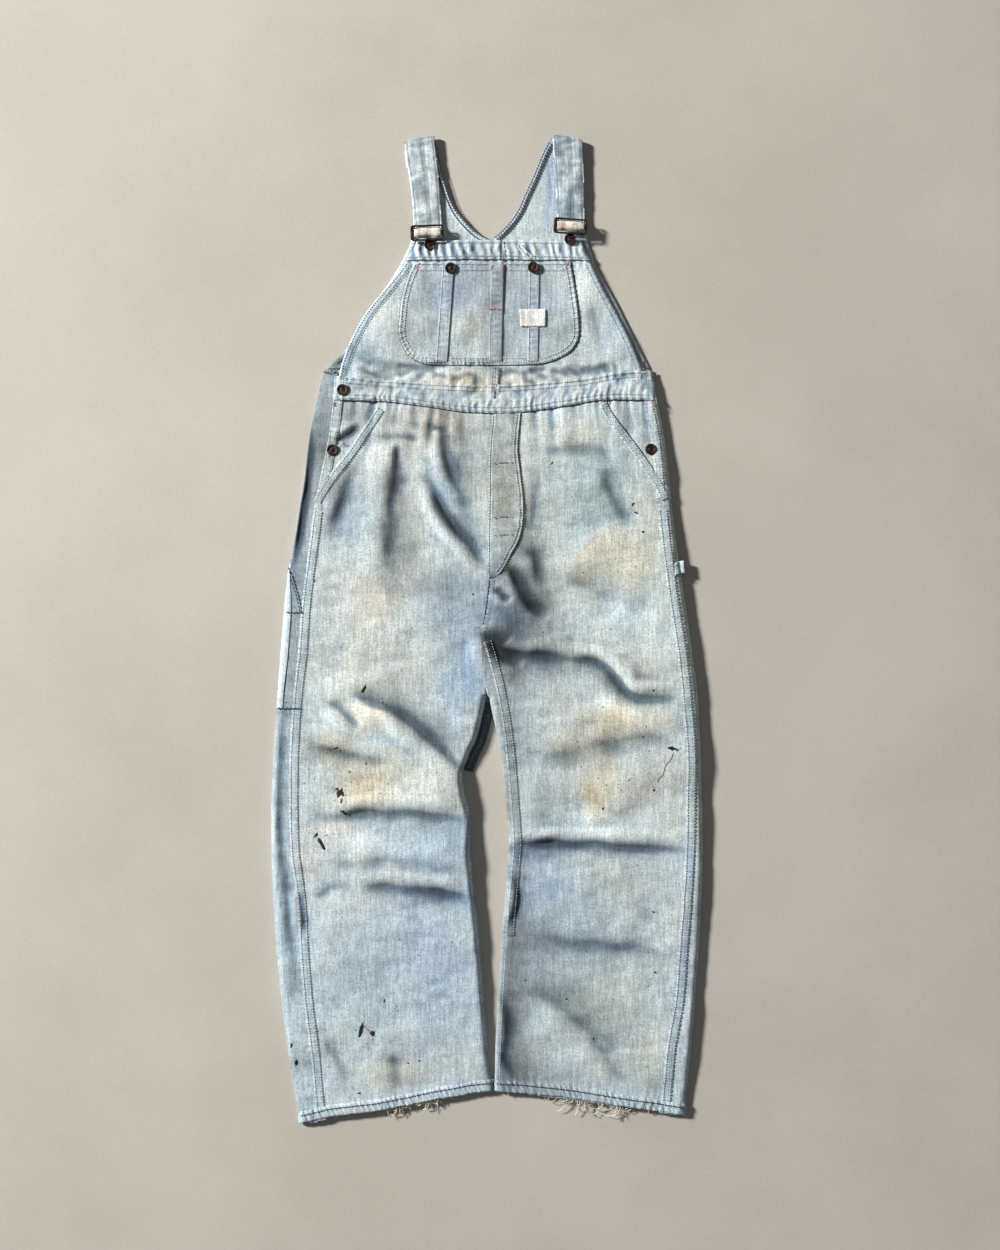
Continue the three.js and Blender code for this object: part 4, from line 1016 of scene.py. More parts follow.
def back_leg(name, side, outer, outseam, inner):
    """A back leg: flat below, round the outer edge, and over the top to the outseam."""
    hem = HEM["left" if side < 0 else "right"]
    y_outer = np.linspace(hem[0] - 4 if side < 0 else hem[1] - 3, WAIST, 480)
    y_inner = np.linspace(hem[1] if side < 0 else hem[0], WAIST - 2, 480)
    x_out, x_in, seam = x_at(outer, y_outer), x_at(inner, y_inner), x_at(outseam, y_outer)
    columns = []
    for share in (0.0, 0.35, 0.7):
        x, y = mix(x_in + side * 1.5, x_out, share), mix(y_inner, y_outer, share)
        columns.append(np.stack([x, y, UNDERSIDE + 0 * y], axis=1))
    columns.append(np.stack([x_out - side * 2.4, y_outer, UNDERSIDE + 0 * y_outer], axis=1))
    columns += rolled(x_out, y_outer, side, 1.35, TURNS)
    for share in np.linspace(0, 1, 18) ** 1.5:
        x = mix(x_out - side * 0.35, seam - side * 1.0, share)
        columns.append(np.stack([x, y_outer, body_z(x, y_outer)], axis=1))
    grid = np.stack(columns, axis=1)
    if side > 0:
        grid = grid[:, ::-1]
    x, y, z = (grid[..., k] for k in range(3))
    colours = denim_colour(x, y, 0.0, 57)
    colours = np.where((z < 1.0)[..., None], colours * 0.96, colours * back_leg_tone(x, y, side))
    make(name, grid, grid_faces(*grid.shape[:2]), colours, DENIM, [name])


def back_legs():
    back_leg("back_leg_left", -1, outer_left, outseam_left, centre_left)
    back_leg("back_leg_right", 1, outer_right, outseam_right, wrap_right)


def inner_fold(name, columns, wear, tone):
    grid = np.stack(columns, axis=1)
    colours = tone * denim_colour(grid[..., 0], grid[..., 1], wear)
    make(name, grid, grid_faces(*grid.shape[:2]), colours, DENIM)


def inner_folds():
    """The legs' inner edges: the left front turns under, and the right back comes up to the inseam."""
    y = np.linspace(-599, -78, 330)
    edge = x_at(inner_left, y)
    columns = [np.stack([edge - 0.4, y, body_z(edge - 0.4, y)], axis=1)]
    columns += rolled(edge + 0.3, y, 1, 1.5, (20, 0, -25, -50, -75))
    columns.append(np.stack([edge - 9, y, 0 * y + 0.15], axis=1))
    inner_fold("inner_fold_left", columns, 0.15, 1.0)
    y = np.linspace(-599, -8, 360)
    edge = x_at(wrap_right, y)
    seam = np.maximum(x_at(inseam_right, y), edge + 1.5)
    columns = [np.stack([edge + 9, y, 0 * y + 0.15], axis=1)]
    columns += rolled(edge - 0.3, y, -1, 1.5, TURNS)
    for share in np.linspace(0, 1, 7):
        x = mix(edge + 0.3, seam + 0.8, share)
        columns.append(np.stack([x, y, body_z(x, y)], axis=1))
    inner_fold("inner_fold_right", columns, 0.1, 0.9)


def hips():
    """The hip pieces seen inside the slanted pockets, a little below the fronts."""
    for side, name, outseam, slant in (
        (-1, "hip_left", outseam_left, slant_left), (1, "hip_right", outseam_right, slant_right),
    ):
        y = np.linspace(158, 318, 84)[:, None]
        seam = x_at(outseam, y)
        inward = x_at(slant[::-1], np.clip(y, slant[:, 1].min(), slant[:, 1].max())) - side * 16
        inward = np.where((inward - seam) * side > -4, seam - side * 4, inward)
        x = mix(seam + side * 0.6, inward, np.linspace(0, 1, 46)[None, :])
        y = y + 0 * x
        drop = -0.7 * step_between(np.abs(x - seam), 0, 8) + 0.5 * noise(x, y, 14, 22, 70 + side) - 0.2
        grid = lifted(x, y, np.minimum(drop, 0.1))
        if side > 0:
            grid = grid[:, ::-1]
        cloth_piece(name, grid, "leg_denim", [name], 0.8, "l" if side < 0 else "r")


def in_shadow(colours, x, y):
    return mix(colours * 0.5, np.array((66, 78, 98), float), 0.6)


def flat_floor(x, y):
    return 0.9 + 0 * np.asarray(x, float)


def left_inseam_edge():
    """The left leg's overlocked inseam, which shows below the crotch between the legs."""
    line = between(inner_left, -184, -93)
    grid = strip_grid(line, 3.0, -12.5, 1.2, 1.4, 10, flat_floor)
    room = x_at(inner_right, grid[..., 1]) - 1.5
    grid[..., 0] = np.minimum(grid[..., 0], room)
    cloth_piece("left_inseam_edge", grid, "leg_denim", (), 1.0, tint=in_shadow)


front_legs()
back_legs()
inner_folds()
left_inseam_edge()
hips()


# ---------------------------------------------------------------- bib
def bibs():
    for name, left, right, low, high, outer in (
        ("bib_left", bib_left, bib_centre, (310, 297), (501, BIB_TOP), "l"),
        ("bib_right", bib_centre, bib_right, (297, 310), (BIB_TOP, 501), "r"),
    ):
        x, y = rows_between(left, right, low, high, 1.7, 92)
        cloth_piece(name, lifted(x, y, 0 * x), "bib_denim", [name], 2.6, outer + "t", edge=outer)


def inner_face(colours, x, y):
    """The back's inner face: paler and greyer, with blue streaks of warp near the right strap, and painted
    shade on the left wing by the bib's corner.
    """
    pale = mix(colours, np.array((196, 206, 206), float), 0.8)
    streak = bell(x - 84, 9) * step_between(y, 500, 540)
    streak = streak * (0.5 + 0.5 * noise(x, y, 2.5, 40, 91))
    rows = 0.5 + 0.5 * noise(x, y, 2.0, 60, 92)
    pale = toward(pale, (118, 146, 190), np.clip(0.75 * streak + 0.10 * rows, 0, 1))
    # Painted shade where the left wing shows beside the bib's corner.
    return pale * (1 - 0.4 * spot(x, y, -196, 350, 18, 26))[..., None]


def back_bib():
    """The inside of the back, seen above the bib: two wings that meet in the V of the neck."""
    y_low = np.linspace(338, 505, 60)
    for side, name, armhole, neck in (
        (-1, "back_bib_left", armhole_left, neck_left), (1, "back_bib_right", armhole_right, neck_right),
    ):
        y_neck = np.linspace(505, neck[-1, 1], 86)[1:]
        outer_y = np.concatenate([y_low, np.linspace(505, armhole[-1, 1], 86)[1:]])[:, None]
        inner_y = np.concatenate([y_low, y_neck])[:, None]
        inner = np.concatenate([np.full(len(y_low), 5.0), x_at(neck, y_neck)])[:, None]
        share = np.linspace(0, 1, 52)[None, :]
        x, y = mix(x_at(armhole, outer_y), inner, share), mix(outer_y, inner_y, share)
        if side > 0:
            x, y = x[:, ::-1], y[:, ::-1]
        nodes = ["back_bib"] if side < 0 else []
        grid = np.stack([x, y, back_z(x, y)], axis=-1)
        cloth_piece(name, grid, "inside_denim", nodes, 1.1, "lrt", tint=inner_face)


def lined(line):
    """The back's inner face with a neck binding's two dark rows of stitching, beside that line."""
    def tint(colours, x, y):
        away, _, _ = distance_to(line, x, y)
        dark = 0.75 * (bell(away - 1.0, 0.8) + bell(away - 6.4, 0.8))
        return toward(inner_face(colours, x, y), (52, 64, 88), dark)

    return tint


def neck_bindings():
    for name, neck, side in (("neck_binding_left", neck_left, 1), ("neck_binding_right", neck_right, -1)):
        line = between(neck, 505, 640)
        grid = strip_grid(line, side * 0.0, side * 9.0, 0.8, 1.4, 19, back_z, bulge=0.2)
        cloth_piece(name, grid, "inside_denim", [name], tint=lined(line))


def armhole_hems():
    for name, armhole, side in (("left", armhole_left, -1), ("right", armhole_right, 1)):
        grid = strip_grid(between(armhole, 345, 628), side * 0.1, side * 7.0, 0.9, 1.8, 6, back_z, bulge=0.2)
        cloth_piece("armhole_hem_" + name, grid, "inside_denim", edge="lr", tint=inner_face)


bibs()
back_bib()
neck_bindings()
armhole_hems()


# ---------------------------------------------------------------- waistband, fly, seams and hems
def waistband():
    rows = 30
    share = np.linspace(0, 1, rows)[:, None]
    for name, low, high, sides in (("waistband_left", -198, 10, "lbt"), ("waistband_right", 10, 216, "rbt")):
        x = np.tile(np.linspace(low, high, int(round((high - low) / 1.3)) + 1), (rows, 1))
        y = mix(np.interp(x, *band_bottom.T), np.interp(x, *band_top.T), share)
        foot = pucker(x + 1.5 * np.sin(9 * share), 8.5, 99) * bell(share, 0.36)
        head = pucker(x - 4 * share, 10.5, 98) * bell(1 - share, 0.25)
        crush = noise(x, y, 7, 13, 101, 24) + 0.8 * noise(x, y, 4, 8, 102, -24)
        crush = crush * np.sin(np.pi * share) ** 0.7
        wave = np.clip(0.7 * foot + 0.6 * head + 0.55 * crush, -1, 1)
        grid = lifted(x, y, 1.7 + 1.0 * wave + 0.6 * np.sin(np.pi * share))
        cloth_piece(name, grid, "trim_denim", [name], 1.6, sides, edge="bt", wave=0.85 * wave, rim=0.35)


def deeper(colours, x, y):
    """Seams keep more of their blue than the cloth between them."""
    return colours * np.array((0.945, 0.96, 0.97))


def fly():
    y = np.linspace(66, 281, 136)[:, None]
    left = x_at(centre_front, y) + 0.4
    right = np.maximum(x_at(fly_edge, np.maximum(y, 67)), left + 4)
    x = mix(left, right, np.linspace(0, 1, 30)[None, :])
    y = y + 0 * x
    crush = noise(x, y, 30, 9, 103)
    bulk = 0.9 + 0.5 * crush + 0.3 * noise(x, y, 12, 6, 104)
    grid = lifted(x, y, bulk)
    cloth_piece("fly", grid, "trim_denim", ["fly"], 1.5, edge="r", wave=0.3 * crush, tint=deeper)


def seams():
    """Felled seams: raised bands along the legs' sides, the crotch, the right inseam and the bib."""
    for name, line, low, high, lift in (
        ("outseam_left", between(outseam_left, -640, 165), -0.2, -12.5, 0.35),
        ("outseam_right", between(outseam_right, -632, 165), 0.2, 12.5, 0.35),
        ("inseam_right", between(inseam_right, -400, -12), -0.2, -12, 0.6),
        ("crotch_seam", between(centre_front, 0, 68), -0.3, -8, 0.1),
        ("bib_centre_seam", between(bib_centre, 314, 342), 5.5, -5.5, 0.6),
        ("bib_side_hem_left", between(bib_left, 320, 480), -0.2, -9, 0.5),
        ("bib_side_hem_right", between(bib_right, 320, 480), 0.2, 9, 0.5),
    ):
        sewn_band(name, line, low, high, lift, 1.5, 9, 0.8, 0.6, seed=len(name), tint=deeper, rim=0.3)


def pocket_mouths():
    """The slanted pockets' welts, and the side openings' edges above the outseams."""
    for name, slant, side in (("pocket_welt_left", slant_left, -1), ("pocket_welt_right", slant_right, 1)):
        sewn_band(name, slant[::-1], side * 0.3, side * 11.0, 0.6, 1.4, 9, 0.8, seed=7, tint=deeper)
    for name, outseam, side in (("left", outseam_left, -1), ("right", outseam_right, 1)):
        line = between(outseam, 166, 308)
        sewn_band("side_placket_" + name, line, side * 0.6, side * 13.0, 0.4, 1.6, 8, 0.7, seed=8)


def hem_height(x, y):
    return body_z(x, np.maximum(y, -641))


def hems():
    """Turned-up leg hems, gathered by their stitching, on the fronts and over the wrapped edges."""
    depth, rows = 14, 14
    share = np.linspace(0, 1, rows)[:, None]
    for name, line, low, high, down, sides in (
        ("hem_front_left", hem_left, -224, 8.5, 4.0, "bt"),
        ("hem_front_right", hem_right, 11, 239, 4.0, "bt"),
        ("hem_back_left", hem_left, -243.5, -224, 3.0, "lrbt"),
        ("hem_back_right", hem_right, 239, 257, 3.0, "lrbt"),
    ):
        x = np.tile(np.linspace(low, high, max(int((high - low) / 1.3), 10)), (rows, 1))
        foot = np.interp(x, *line.T)
        y = foot + np.linspace(-0.6, depth, rows)[:, None] + 0.8 * noise(x, 0 * x, 9, 9, 105)
        wave = pucker(x + 0.6 * y, 6.5, 106) * (0.4 + 0.6 * share)
        bulk = 1.7 - 0.8 * (1 - rise(share * depth, 4)) - 0.5 * step_between(share, 0.75, 1) + 0.5 * wave
        if "back" in name:
            x = np.clip(x, x_at(outer_left, y) + 0.5, x_at(outer_right, y) - 0.5)
        grid = lifted(x, y, bulk, hem_height)
        cloth_piece(name, grid, "trim_denim", [name], down, sides, edge="b", wave=0.95 * wave, rim=0.25)


def joined_at_centre(colours, x, y):
    """A dark line where the two halves of the bib's top hem meet."""
    return toward(colours, NAVY, 0.9 * bell(x - x_at(bib_centre, y) - 0.5, 1.2, 4))


def bib_top_hem():
    """The bib's top edge, gathered by its drawn-up stitching."""
    t, v = np.linspace(0, 1, 176)[None, :], np.linspace(0, 1, 22)[:, None]
    x = mix(mix(-103.5, -90, v), mix(134, 121, v), t)
    y = mix(np.interp(x, *bib_hem_foot.T), np.interp(x, *bib_top.T), v)
    y = y + 0.7 * noise(x, 0 * x, 12, 12, 110)
    lean = x + 0.25 * (y - 490) + 2.5 * noise(x, y, 14, 9, 113)
    wave = pucker(lean, 11.5, 111) + 0.3 * noise(x, y, 5, 10, 112)
    grid = lifted(x, y, 1.9 + 1.6 * wave * np.sin(np.pi * np.clip(v, 0.12, 0.95)))
    cloth_piece(
        "bib_top_hem", grid, "trim_denim", ["bib_top_hem"], 2.4, edge="bt", wave=np.clip(wave, -1, 1),
        rim=0.12, tint=joined_at_centre,
    )


def pocket_top(x, y):
    """Height of the bib pocket's face."""
    return lifted(x, y, 1.45 + 0 * np.asarray(x))[..., 2] + 0.25 * noise(x, y, 16, 22, 113)


def mottled(colours, x, y):
    """Patchy, and greyer than the bib."""
    patch = 0.07 * noise(x, y, 26, 17, 131, 20) + 0.05 * noise(x, y, 9, 13, 132)
    grey = colours.mean(axis=-1, keepdims=True)
    return mix(colours, grey * np.array((0.95, 1.0, 1.04)), 0.2) * (0.97 + patch)[..., None]


def bib_pocket():
    x, y = rows_between(pocket_left, pocket_right, (341.2, 341.2), (474, 474), 1.5, 140, power=1.25)
    border = np.vstack([pocket_left[::-1], pocket_right])
    d, along, _ = distance_to(border, x, y)
    wave = pucker(along + 0.2 * d, 6.5, 114) * bell(d, 8)
    wave = wave + 0.6 * pucker(x + 2 * np.sin(y), 8, 115) * bell(474 - y, 7)
    grid = np.stack([x, y, pocket_top(x, y) + 0.6 * wave], axis=-1)
    cloth_piece(
        "bib_pocket", grid, "pocket_denim", ["bib_pocket"], 1.5, edge="lrb", tint=mottled, seed=9, wave=wave
    )


def pocket_strips():
    """Three sewn strips up the bib pocket, crossed by fine ribs; the middle one is thicker at its top."""
    v, t = np.linspace(0, 1, 84)[:, None], np.linspace(0, 1, 11)[None, :]
    for name, foot, head, lift in (
        ("pocket_strip_left", (-66, -51), (-57, -42), 0.7),
        ("pocket_strip_middle", (3, 19), (5, 22), 0.8),
        ("pocket_strip_right", (53, 66), (55, 68), 0.5),
    ):
        x = mix(mix(foot[0], head[0], v), mix(foot[1], head[1], v), t)
        y = mix(346, 471.5, v) + 0 * t
        depth = 0.6 + 0.4 * noise(x, y, 9, 14, 119)
        bars = 0.5 + 0.5 * np.sin(y / 1.25 + 3.5 * noise(x, y, 30, 12, 116)) * depth
        across = np.sin(np.pi * t) ** 0.5
        rib = lift + 0.45 * bars * across
        if "middle" in name:
            rib = rib + 0.8 * step_between(y, 402, 412)
        grid = np.stack([x, y, pocket_top(x, y) + rib], axis=-1)
        wave = 0.45 * (2 * bars - 1) * across
        cloth_piece(name, grid, "pocket_denim", [name], 0.8, seed=12, wave=wave, tint=mottled)


def off_white(colours, x, y):
    worn = 0.5 + 0.5 * noise(x, y, 6, 4, 120)
    return toward(np.array((240, 239, 233), float) + 0 * colours, (206, 210, 212), 0.5 * worn)


def label():
    """A blank cloth label over the right strip, frayed at its lower edge."""
    v, t = np.linspace(0, 1, 24)[:, None], np.linspace(0, 1, 34)[None, :]
    x = 43.3 + 33 * t - 0.8 * v + 1.2 * (1 - v) * noise(80 * t, 0 * v + 3, 6, 6, 117)
    y = 391.5 + 21.5 * v + 0.9 * (1 - v) * noise(80 * t, 9 + 0 * v, 5, 5, 118) + 0 * t
    grid = np.stack([x, y, pocket_top(x, y) + 1.55 + 0.25 * noise(x, y, 7, 9, 119)], axis=-1)
    cloth_piece("label", grid, "label_cloth", ["label"], 0.8, tint=off_white)


def rule_pocket():
    """The rule pocket on the left outer side: its lower part, and the flap that narrows upwards."""
    t = np.linspace(0, 1, 14)[None, :]
    for name, low, high, rows, narrowing, lift, edge, seed in (
        ("rule_pocket_lower", -103, 21, 80, 0.0, 0.7, "bt", 14),
        ("rule_pocket_upper", 21.4, 84, 50, 0.95, 0.6, "r", 15),
    ):
        y = np.linspace(low, high, rows)[:, None]
        slant = step_between(y, 16, 84) * narrowing
        right = mix(x_at(outseam_left, y) - 12.6, x_at(outer_left, y) + 3, slant)
        x = mix(x_at(outer_left, y) + 1.0, right, t)
        y = y + 0 * x
        grid = lifted(x, y, (lift + 0.2 * noise(x, y, 9, 14, seed + 107)) * rise(t, 0.3))
        cloth_piece(name, grid, "pocket_denim", [name], 1.0, "rbt", edge=edge, seed=seed)


def hammer_loop():
    """The hammer loop on the right outer side, arched off the leg."""
    t, v = np.linspace(0, 1, 22)[None, :], np.linspace(0, 1, 12)[:, None]
    y = 68 + 16 * v + 9 * np.sin(1.6 * t) * (1 - t * 0.8) + 0 * t
    x = np.minimum(243 + 22 * t + 3 * v * t, x_at(outer_right, y) + 5.0)
    lift = 1.4 + 2.2 * np.sin(np.pi * t) ** 2 + 0 * v
    z = body_z(np.minimum(x, x_at(outer_right, y) - 0.8), y) + lift - 2.2 * step_between(t, 0.86, 1.0)
    grid = np.stack([x, y, z], axis=-1)
    cloth_piece("hammer_loop", grid, "pocket_denim", ["hammer_loop"], 2.2, edge="bt", seed=16)


waistband()
fly()
seams()
pocket_mouths()
hems()
bib_top_hem()
bib_pocket()
pocket_strips()
label()
rule_pocket()
hammer_loop()


# ---------------------------------------------------------------- straps and metal
BUCKLE_LEVEL = 11.5
STRAP_BACK, STRAP_FRONT = 2.7, 6.2  # height of a strap behind the back bib and before it
WHITE_EDGE, STITCH_GROOVE = (226, 230, 232), (96, 112, 130)
CREAM, RUST_STAIN = (224, 216, 198), (176, 130, 100)


def strap_path(top, shoulder, buckle_x, buckle_y):
    """Centre of a strap from behind the back bib, over the shoulder fold, to under the buckle: y, z, x."""
    places = [(top - 34, STRAP_BACK, shoulder - (shoulder - buckle_x) * 0.2)]
    places += [(top - 12, STRAP_BACK, shoulder), (top - 2, STRAP_BACK, shoulder)]
    for turn in (-60, -30, 0, 30, 60):
        a = math.radians(turn)
        z = (STRAP_BACK + STRAP_FRONT) / 2 + 1.75 * math.sin(a)
        places.append((top - 1.7 + 1.7 * math.cos(a), z, shoulder))
    places.append((top - 2, STRAP_FRONT, shoulder))
    for down, across, lower in (
        (0.12, 0.12, 0.0), (0.25, 0.3, 0.0), (0.4, 0.55, 0.0), (0.55, 0.72, 0.1), (0.7, 0.85, 0.2),
    ):
        places.append((mix(top, buckle_y, down), STRAP_FRONT - lower, mix(shoulder, buckle_x, across)))
    for past, z in (
        (17, STRAP_FRONT - 0.3), (11, STRAP_FRONT + 0.1), (8, STRAP_FRONT + 1.2),
        (5.6, BUCKLE_LEVEL - 1.3), (3.2, BUCKLE_LEVEL + 1.5), (0, BUCKLE_LEVEL + 2.0),
        (-3.2, BUCKLE_LEVEL + 1.5), (-6.2, BUCKLE_LEVEL - 1.6),
    ):
        places.append((buckle_y + past, z, buckle_x))
    return np.array(places, float)


def strap_colours(x, y, z, grooves, across, hump_y, tones, seed):
    """Blotchy denim, white along the edges, dark in the sewn grooves, and with a stain over the buckle."""
    colours = denim_colour(x, np.full(x.shape, 700.0), 0.0, seed)
    colours = mix(colours, np.array(tones[0], float), 0.6)
    blotch = noise(x, y, 14, 18, seed + 2) + 0.5 * noise(x, y, 5, 5, seed + 3)
    blotch = blotch + 0.5 * noise(x, y, 3, 9, seed + 5)
    colours = toward(colours, tones[1], np.clip(0.6 * blotch + tones[2], 0, 0.9))
    colours = colours * (1 + 0.16 * noise(x, y, 16, 4.5, seed + 6, 12))[..., None]
    edge = np.concatenate([np.abs(across) ** 10, np.abs(across[:, ::-1]) ** 10], axis=1) + 0 * x
    colours = toward(colours, WHITE_EDGE, 0.5 * edge)
    groove = np.concatenate([grooves, 0 * grooves], axis=1) + 0 * x
    colours = toward(colours, STITCH_GROOVE, np.clip(0.75 * groove, 0, 0.85))
    stain = toward(np.array(CREAM, float), RUST_STAIN, np.clip(0.5 * blotch - 0.1, 0, 1))
    on_hump = bell(y - hump_y, 8.5, 4) * step_between(z, 7.5, 10)
    return mix(colours, stain, (0.85 * on_hump)[..., None])


def strap(name, path, tilt_top, tilt_end, tones, seed):
    """A strap of two layers of denim, sewn along its edges and once along its length."""
    fine, near = smooth(path[:, :2], 300), smooth(path[:, [0, 2]], 300)
    y, z, x = fine[:, 0], fine[:, 1], near[:, 1]
    dy, dz = np.gradient(y), np.gradient(z)
    size = np.maximum(np.hypot(dy, dz), 1e-6)
    across = np.linspace(-1, 1, 27)[None, :]
    share = np.clip((y - 520) / 90, 0, 1)[:, None]
    half = mix(34.5, 38.5, share) / 2
    tilt = mix(tilt_end, tilt_top, share)
    run, wide = np.cumsum(size)[:, None] + 0 * across, across * 18
    grooves = sum(bell((across - place) * half, 0.8) for place in (-0.86, 0.86, 0.2, 0.04))
    hump_y = path[-3, 0]
    ripple = 0.35 * noise(run, wide, 5, 14, seed) + 0.6 * noise(run, wide, 20, 11, seed + 1)
    thick = 1.0 * (1 - np.abs(across) ** 8) + 0.12
    height = thick - 0.4 * grooves * (1 - 0.5 * bell(y[:, None] - hump_y, 9)) + ripple
    dx = across * half
    layers = []
    for face, bulk in ((1, height), (-1, thick)):
        px = x[:, None] + dx + 0 * y[:, None]
        py = y[:, None] + tilt * dx + face * (dz / size)[:, None] * bulk
        pz = z[:, None] - face * (dy / size)[:, None] * bulk
        layers.append(np.stack([px, py, pz], axis=-1))
    loop = np.concatenate([layers[0], layers[1][:, ::-1]], axis=1)
    rows, round_it = loop.shape[:2]
    ends = [list(range(round_it))[::-1], [(rows - 1) * round_it + k for k in range(round_it)]]
    faces = loop_faces(rows - 1, round_it).tolist() + ends
    colours = strap_colours(loop[..., 0], loop[..., 1], loop[..., 2], grooves, across, hump_y, tones, seed)
    make(name, loop, faces, colours, DENIM, [name])


def loop_faces(rows, around, closed=False):
    """Faces of a tube of that many rows of points round it, and one more, or none if its ends are joined."""
    i, j = np.meshgrid(np.arange(rows), np.arange(around), indexing="ij")
    following = (i + 1) % rows if closed else i + 1
    a, b = i * around + j, i * around + (j + 1) % around
    c, d = following * around + (j + 1) % around, following * around + j
    return np.stack([a.ravel(), b.ravel(), c.ravel(), d.ravel()], axis=1)


def ring_sweep(centre, radius_u, radius_v, sides):
    """A closed wire along closed points, flattened in section, as points and faces."""
    along = np.roll(centre, -1, axis=0) - np.roll(centre, 1, axis=0)
    along /= np.linalg.norm(along, axis=1, keepdims=True)
    up = np.array([0.0, 0.0, 1.0])
    out = np.cross(along, up)
    turns = np.linspace(0, 2 * np.pi, sides, endpoint=False)
    aside = out[:, None] * (radius_u * np.cos(turns))[None, :, None]
    points = centre[:, None] + aside + up * (radius_v * np.sin(turns))[None, :, None]
    return points.reshape(-1, 3), loop_faces(len(centre), sides, closed=True)


def rounded_box(width, depth, corner, steps=6):
    """Points round a rectangle with rounded corners."""
    points = []
    for k, (sx, sy) in enumerate(((1, 1), (-1, 1), (-1, -1), (1, -1))):
        for turn in np.linspace(0, math.pi / 2, steps):
            a = turn + k * math.pi / 2
            x = sx * (width / 2 - corner) + corner * math.cos(a)
            points.append((x, sy * (depth / 2 - corner) + corner * math.sin(a)))
    return np.array(points)


def slab(outline, low, high, bevel):
    """A thin plate with bevelled edges, as points and faces."""
    inward = outline.mean(axis=0) - outline
    inner = outline + inward / np.maximum(np.linalg.norm(inward, axis=1, keepdims=True), 1e-6) * bevel
    layers = [(inner, low), (outline, low + bevel), (outline, high - bevel), (inner, high)]
    points = np.concatenate([np.column_stack([p, np.full(len(p), z)]) for p, z in layers])
    n = len(outline)
    return points, loop_faces(3, n).tolist() + [list(range(n))[::-1], [3 * n + j for j in range(n)]]


def joined(parts):
    points, faces, start = [], [], 0
    for part_points, part_faces in parts:
        points.append(np.asarray(part_points, float))
        faces += [[start + int(k) for k in face] for face in part_faces]
        start += len(part_points)
    return np.concatenate(points), faces


def notched_plate():
    """The plate at a buckle's left side, with four notches for the strap."""
    outline = [(-20.2, -7.6), (-15.2, -7.6)]
    for k in range(4):
        low = -6.0 + 3.3 * k
        outline += [(-15.2, low), (-17.0, low + 0.4), (-17.0, low + 1.7), (-15.2, low + 2.1)]
    outline += [(-15.2, 7.6), (-20.2, 7.6)]
    return slab(np.array(outline), BUCKLE_LEVEL - 0.9, BUCKLE_LEVEL + 1.05, 0.2)


def button_hook():
    """The curved lip below a buckle that holds the bib's button."""
    hook = []
    for a in np.linspace(math.radians(200), math.radians(340), 14):
        hook.append((3.5 + 7.4 * math.cos(a), -10.2 + 4.8 * math.sin(a)))
    hook = np.array(hook + [(x, y + 1.4) for x, y in hook[::-1]])
    return slab(hook, BUCKLE_LEVEL - 2.3, BUCKLE_LEVEL - 0.9, 0.2)


def buckle(name, x, y, turn):
    """A wire frame with rounded corners, a middle bar under the strap, a notched plate and a button hook."""
    outline = rounded_box(40.4, 18.4, 3.0)
    wire = ring_sweep(np.column_stack([outline, np.full(len(outline), BUCKLE_LEVEL)]), 1.3, 1.25, 10)
    bar = np.array([(-19.5, -1.1), (19.5, -1.1), (19.5, 1.1), (-19.5, 1.1)])
    bar = slab(bar, BUCKLE_LEVEL - 1.2, BUCKLE_LEVEL + 0.2, 0.25)
    points, faces = joined([wire, bar, notched_plate(), button_hook()])
    u, v, z = points.T
    c, s = math.cos(turn), math.sin(turn)
    points = np.column_stack([x + u * c - v * s, y + u * s + v * c, z])
    piece = make(name, points, faces, None, RUST, [name])
    piece.modifiers.new("edges", "EDGE_SPLIT").split_angle = math.radians(40)


# Half section of a tack button: radius and height.
BUTTON_PROFILE = [
    (0.0, 1.75), (1.6, 1.7), (2.6, 1.5), (3.1, 1.25), (3.6, 1.3), (4.4, 1.55), (5.2, 1.75), (5.9, 2.0),
    (6.5, 2.15), (7.0, 2.0), (7.3, 1.5), (7.25, 0.9), (6.8, 0.5), (5.6, 0.3),
]


def button(name, x, y, level, seed):
    """A pressed tack button: rolled rim, flat ring and a domed middle, dented by wear."""
    sides = 40
    turns = np.linspace(0, 2 * np.pi, sides, endpoint=False)
    rings = []
    for radius, height in BUTTON_PROFILE[1:]:
        px, py = x + radius * np.cos(turns), y + radius * np.sin(turns)
        dent = 0.22 * noise(px, py, 3.5, 3.5, seed) * min(radius / 3, 1)
        rings.append(np.column_stack([px, py, level + height + dent]))
    points = np.concatenate([[[x, y, level + BUTTON_PROFILE[0][1]]], *rings])
    faces = [[0, 1 + j, 1 + (j + 1) % sides] for j in range(sides)]
    faces += [[1 + a, 1 + d, 1 + c, 1 + b] for a, b, c, d in loop_faces(len(rings) - 1, sides).tolist()]
    make(name, points, faces, None, RUST, [name])


# A strap's own tone, the tone of its blotches, and how far they spread.
TONES_LEFT = ((206, 212, 212), (146, 162, 170), 0.25)
TONES_RIGHT = ((196, 202, 204), (126, 142, 152), 0.4)
strap("strap_left", strap_path(635, -87.5, -76.6, 511.5), 0.2, 0.03, TONES_LEFT, 130)
strap("strap_right", strap_path(637, 104.5, 108.5, 520), -0.2, -0.08, TONES_RIGHT, 140)
buckle("buckle_left", -77.5, 511.5, 0.03)
buckle("buckle_right", 107.5, 520, -0.08)
button("strap_button_left", -74, 497, 7.7, 151)
button("strap_button_right", 107.5, 504, 7.7, 152)
button("pocket_snap_left", -47, 466, 9.4, 153)
button("pocket_snap_right", 60, 467, 9.4, 154)
button("side_button_left_upper", -187, 309, 9.0, 155)
button("side_button_left_lower", -200, 231, 8.3, 156)
button("side_button_right", 212, 232, 8.3, 157)
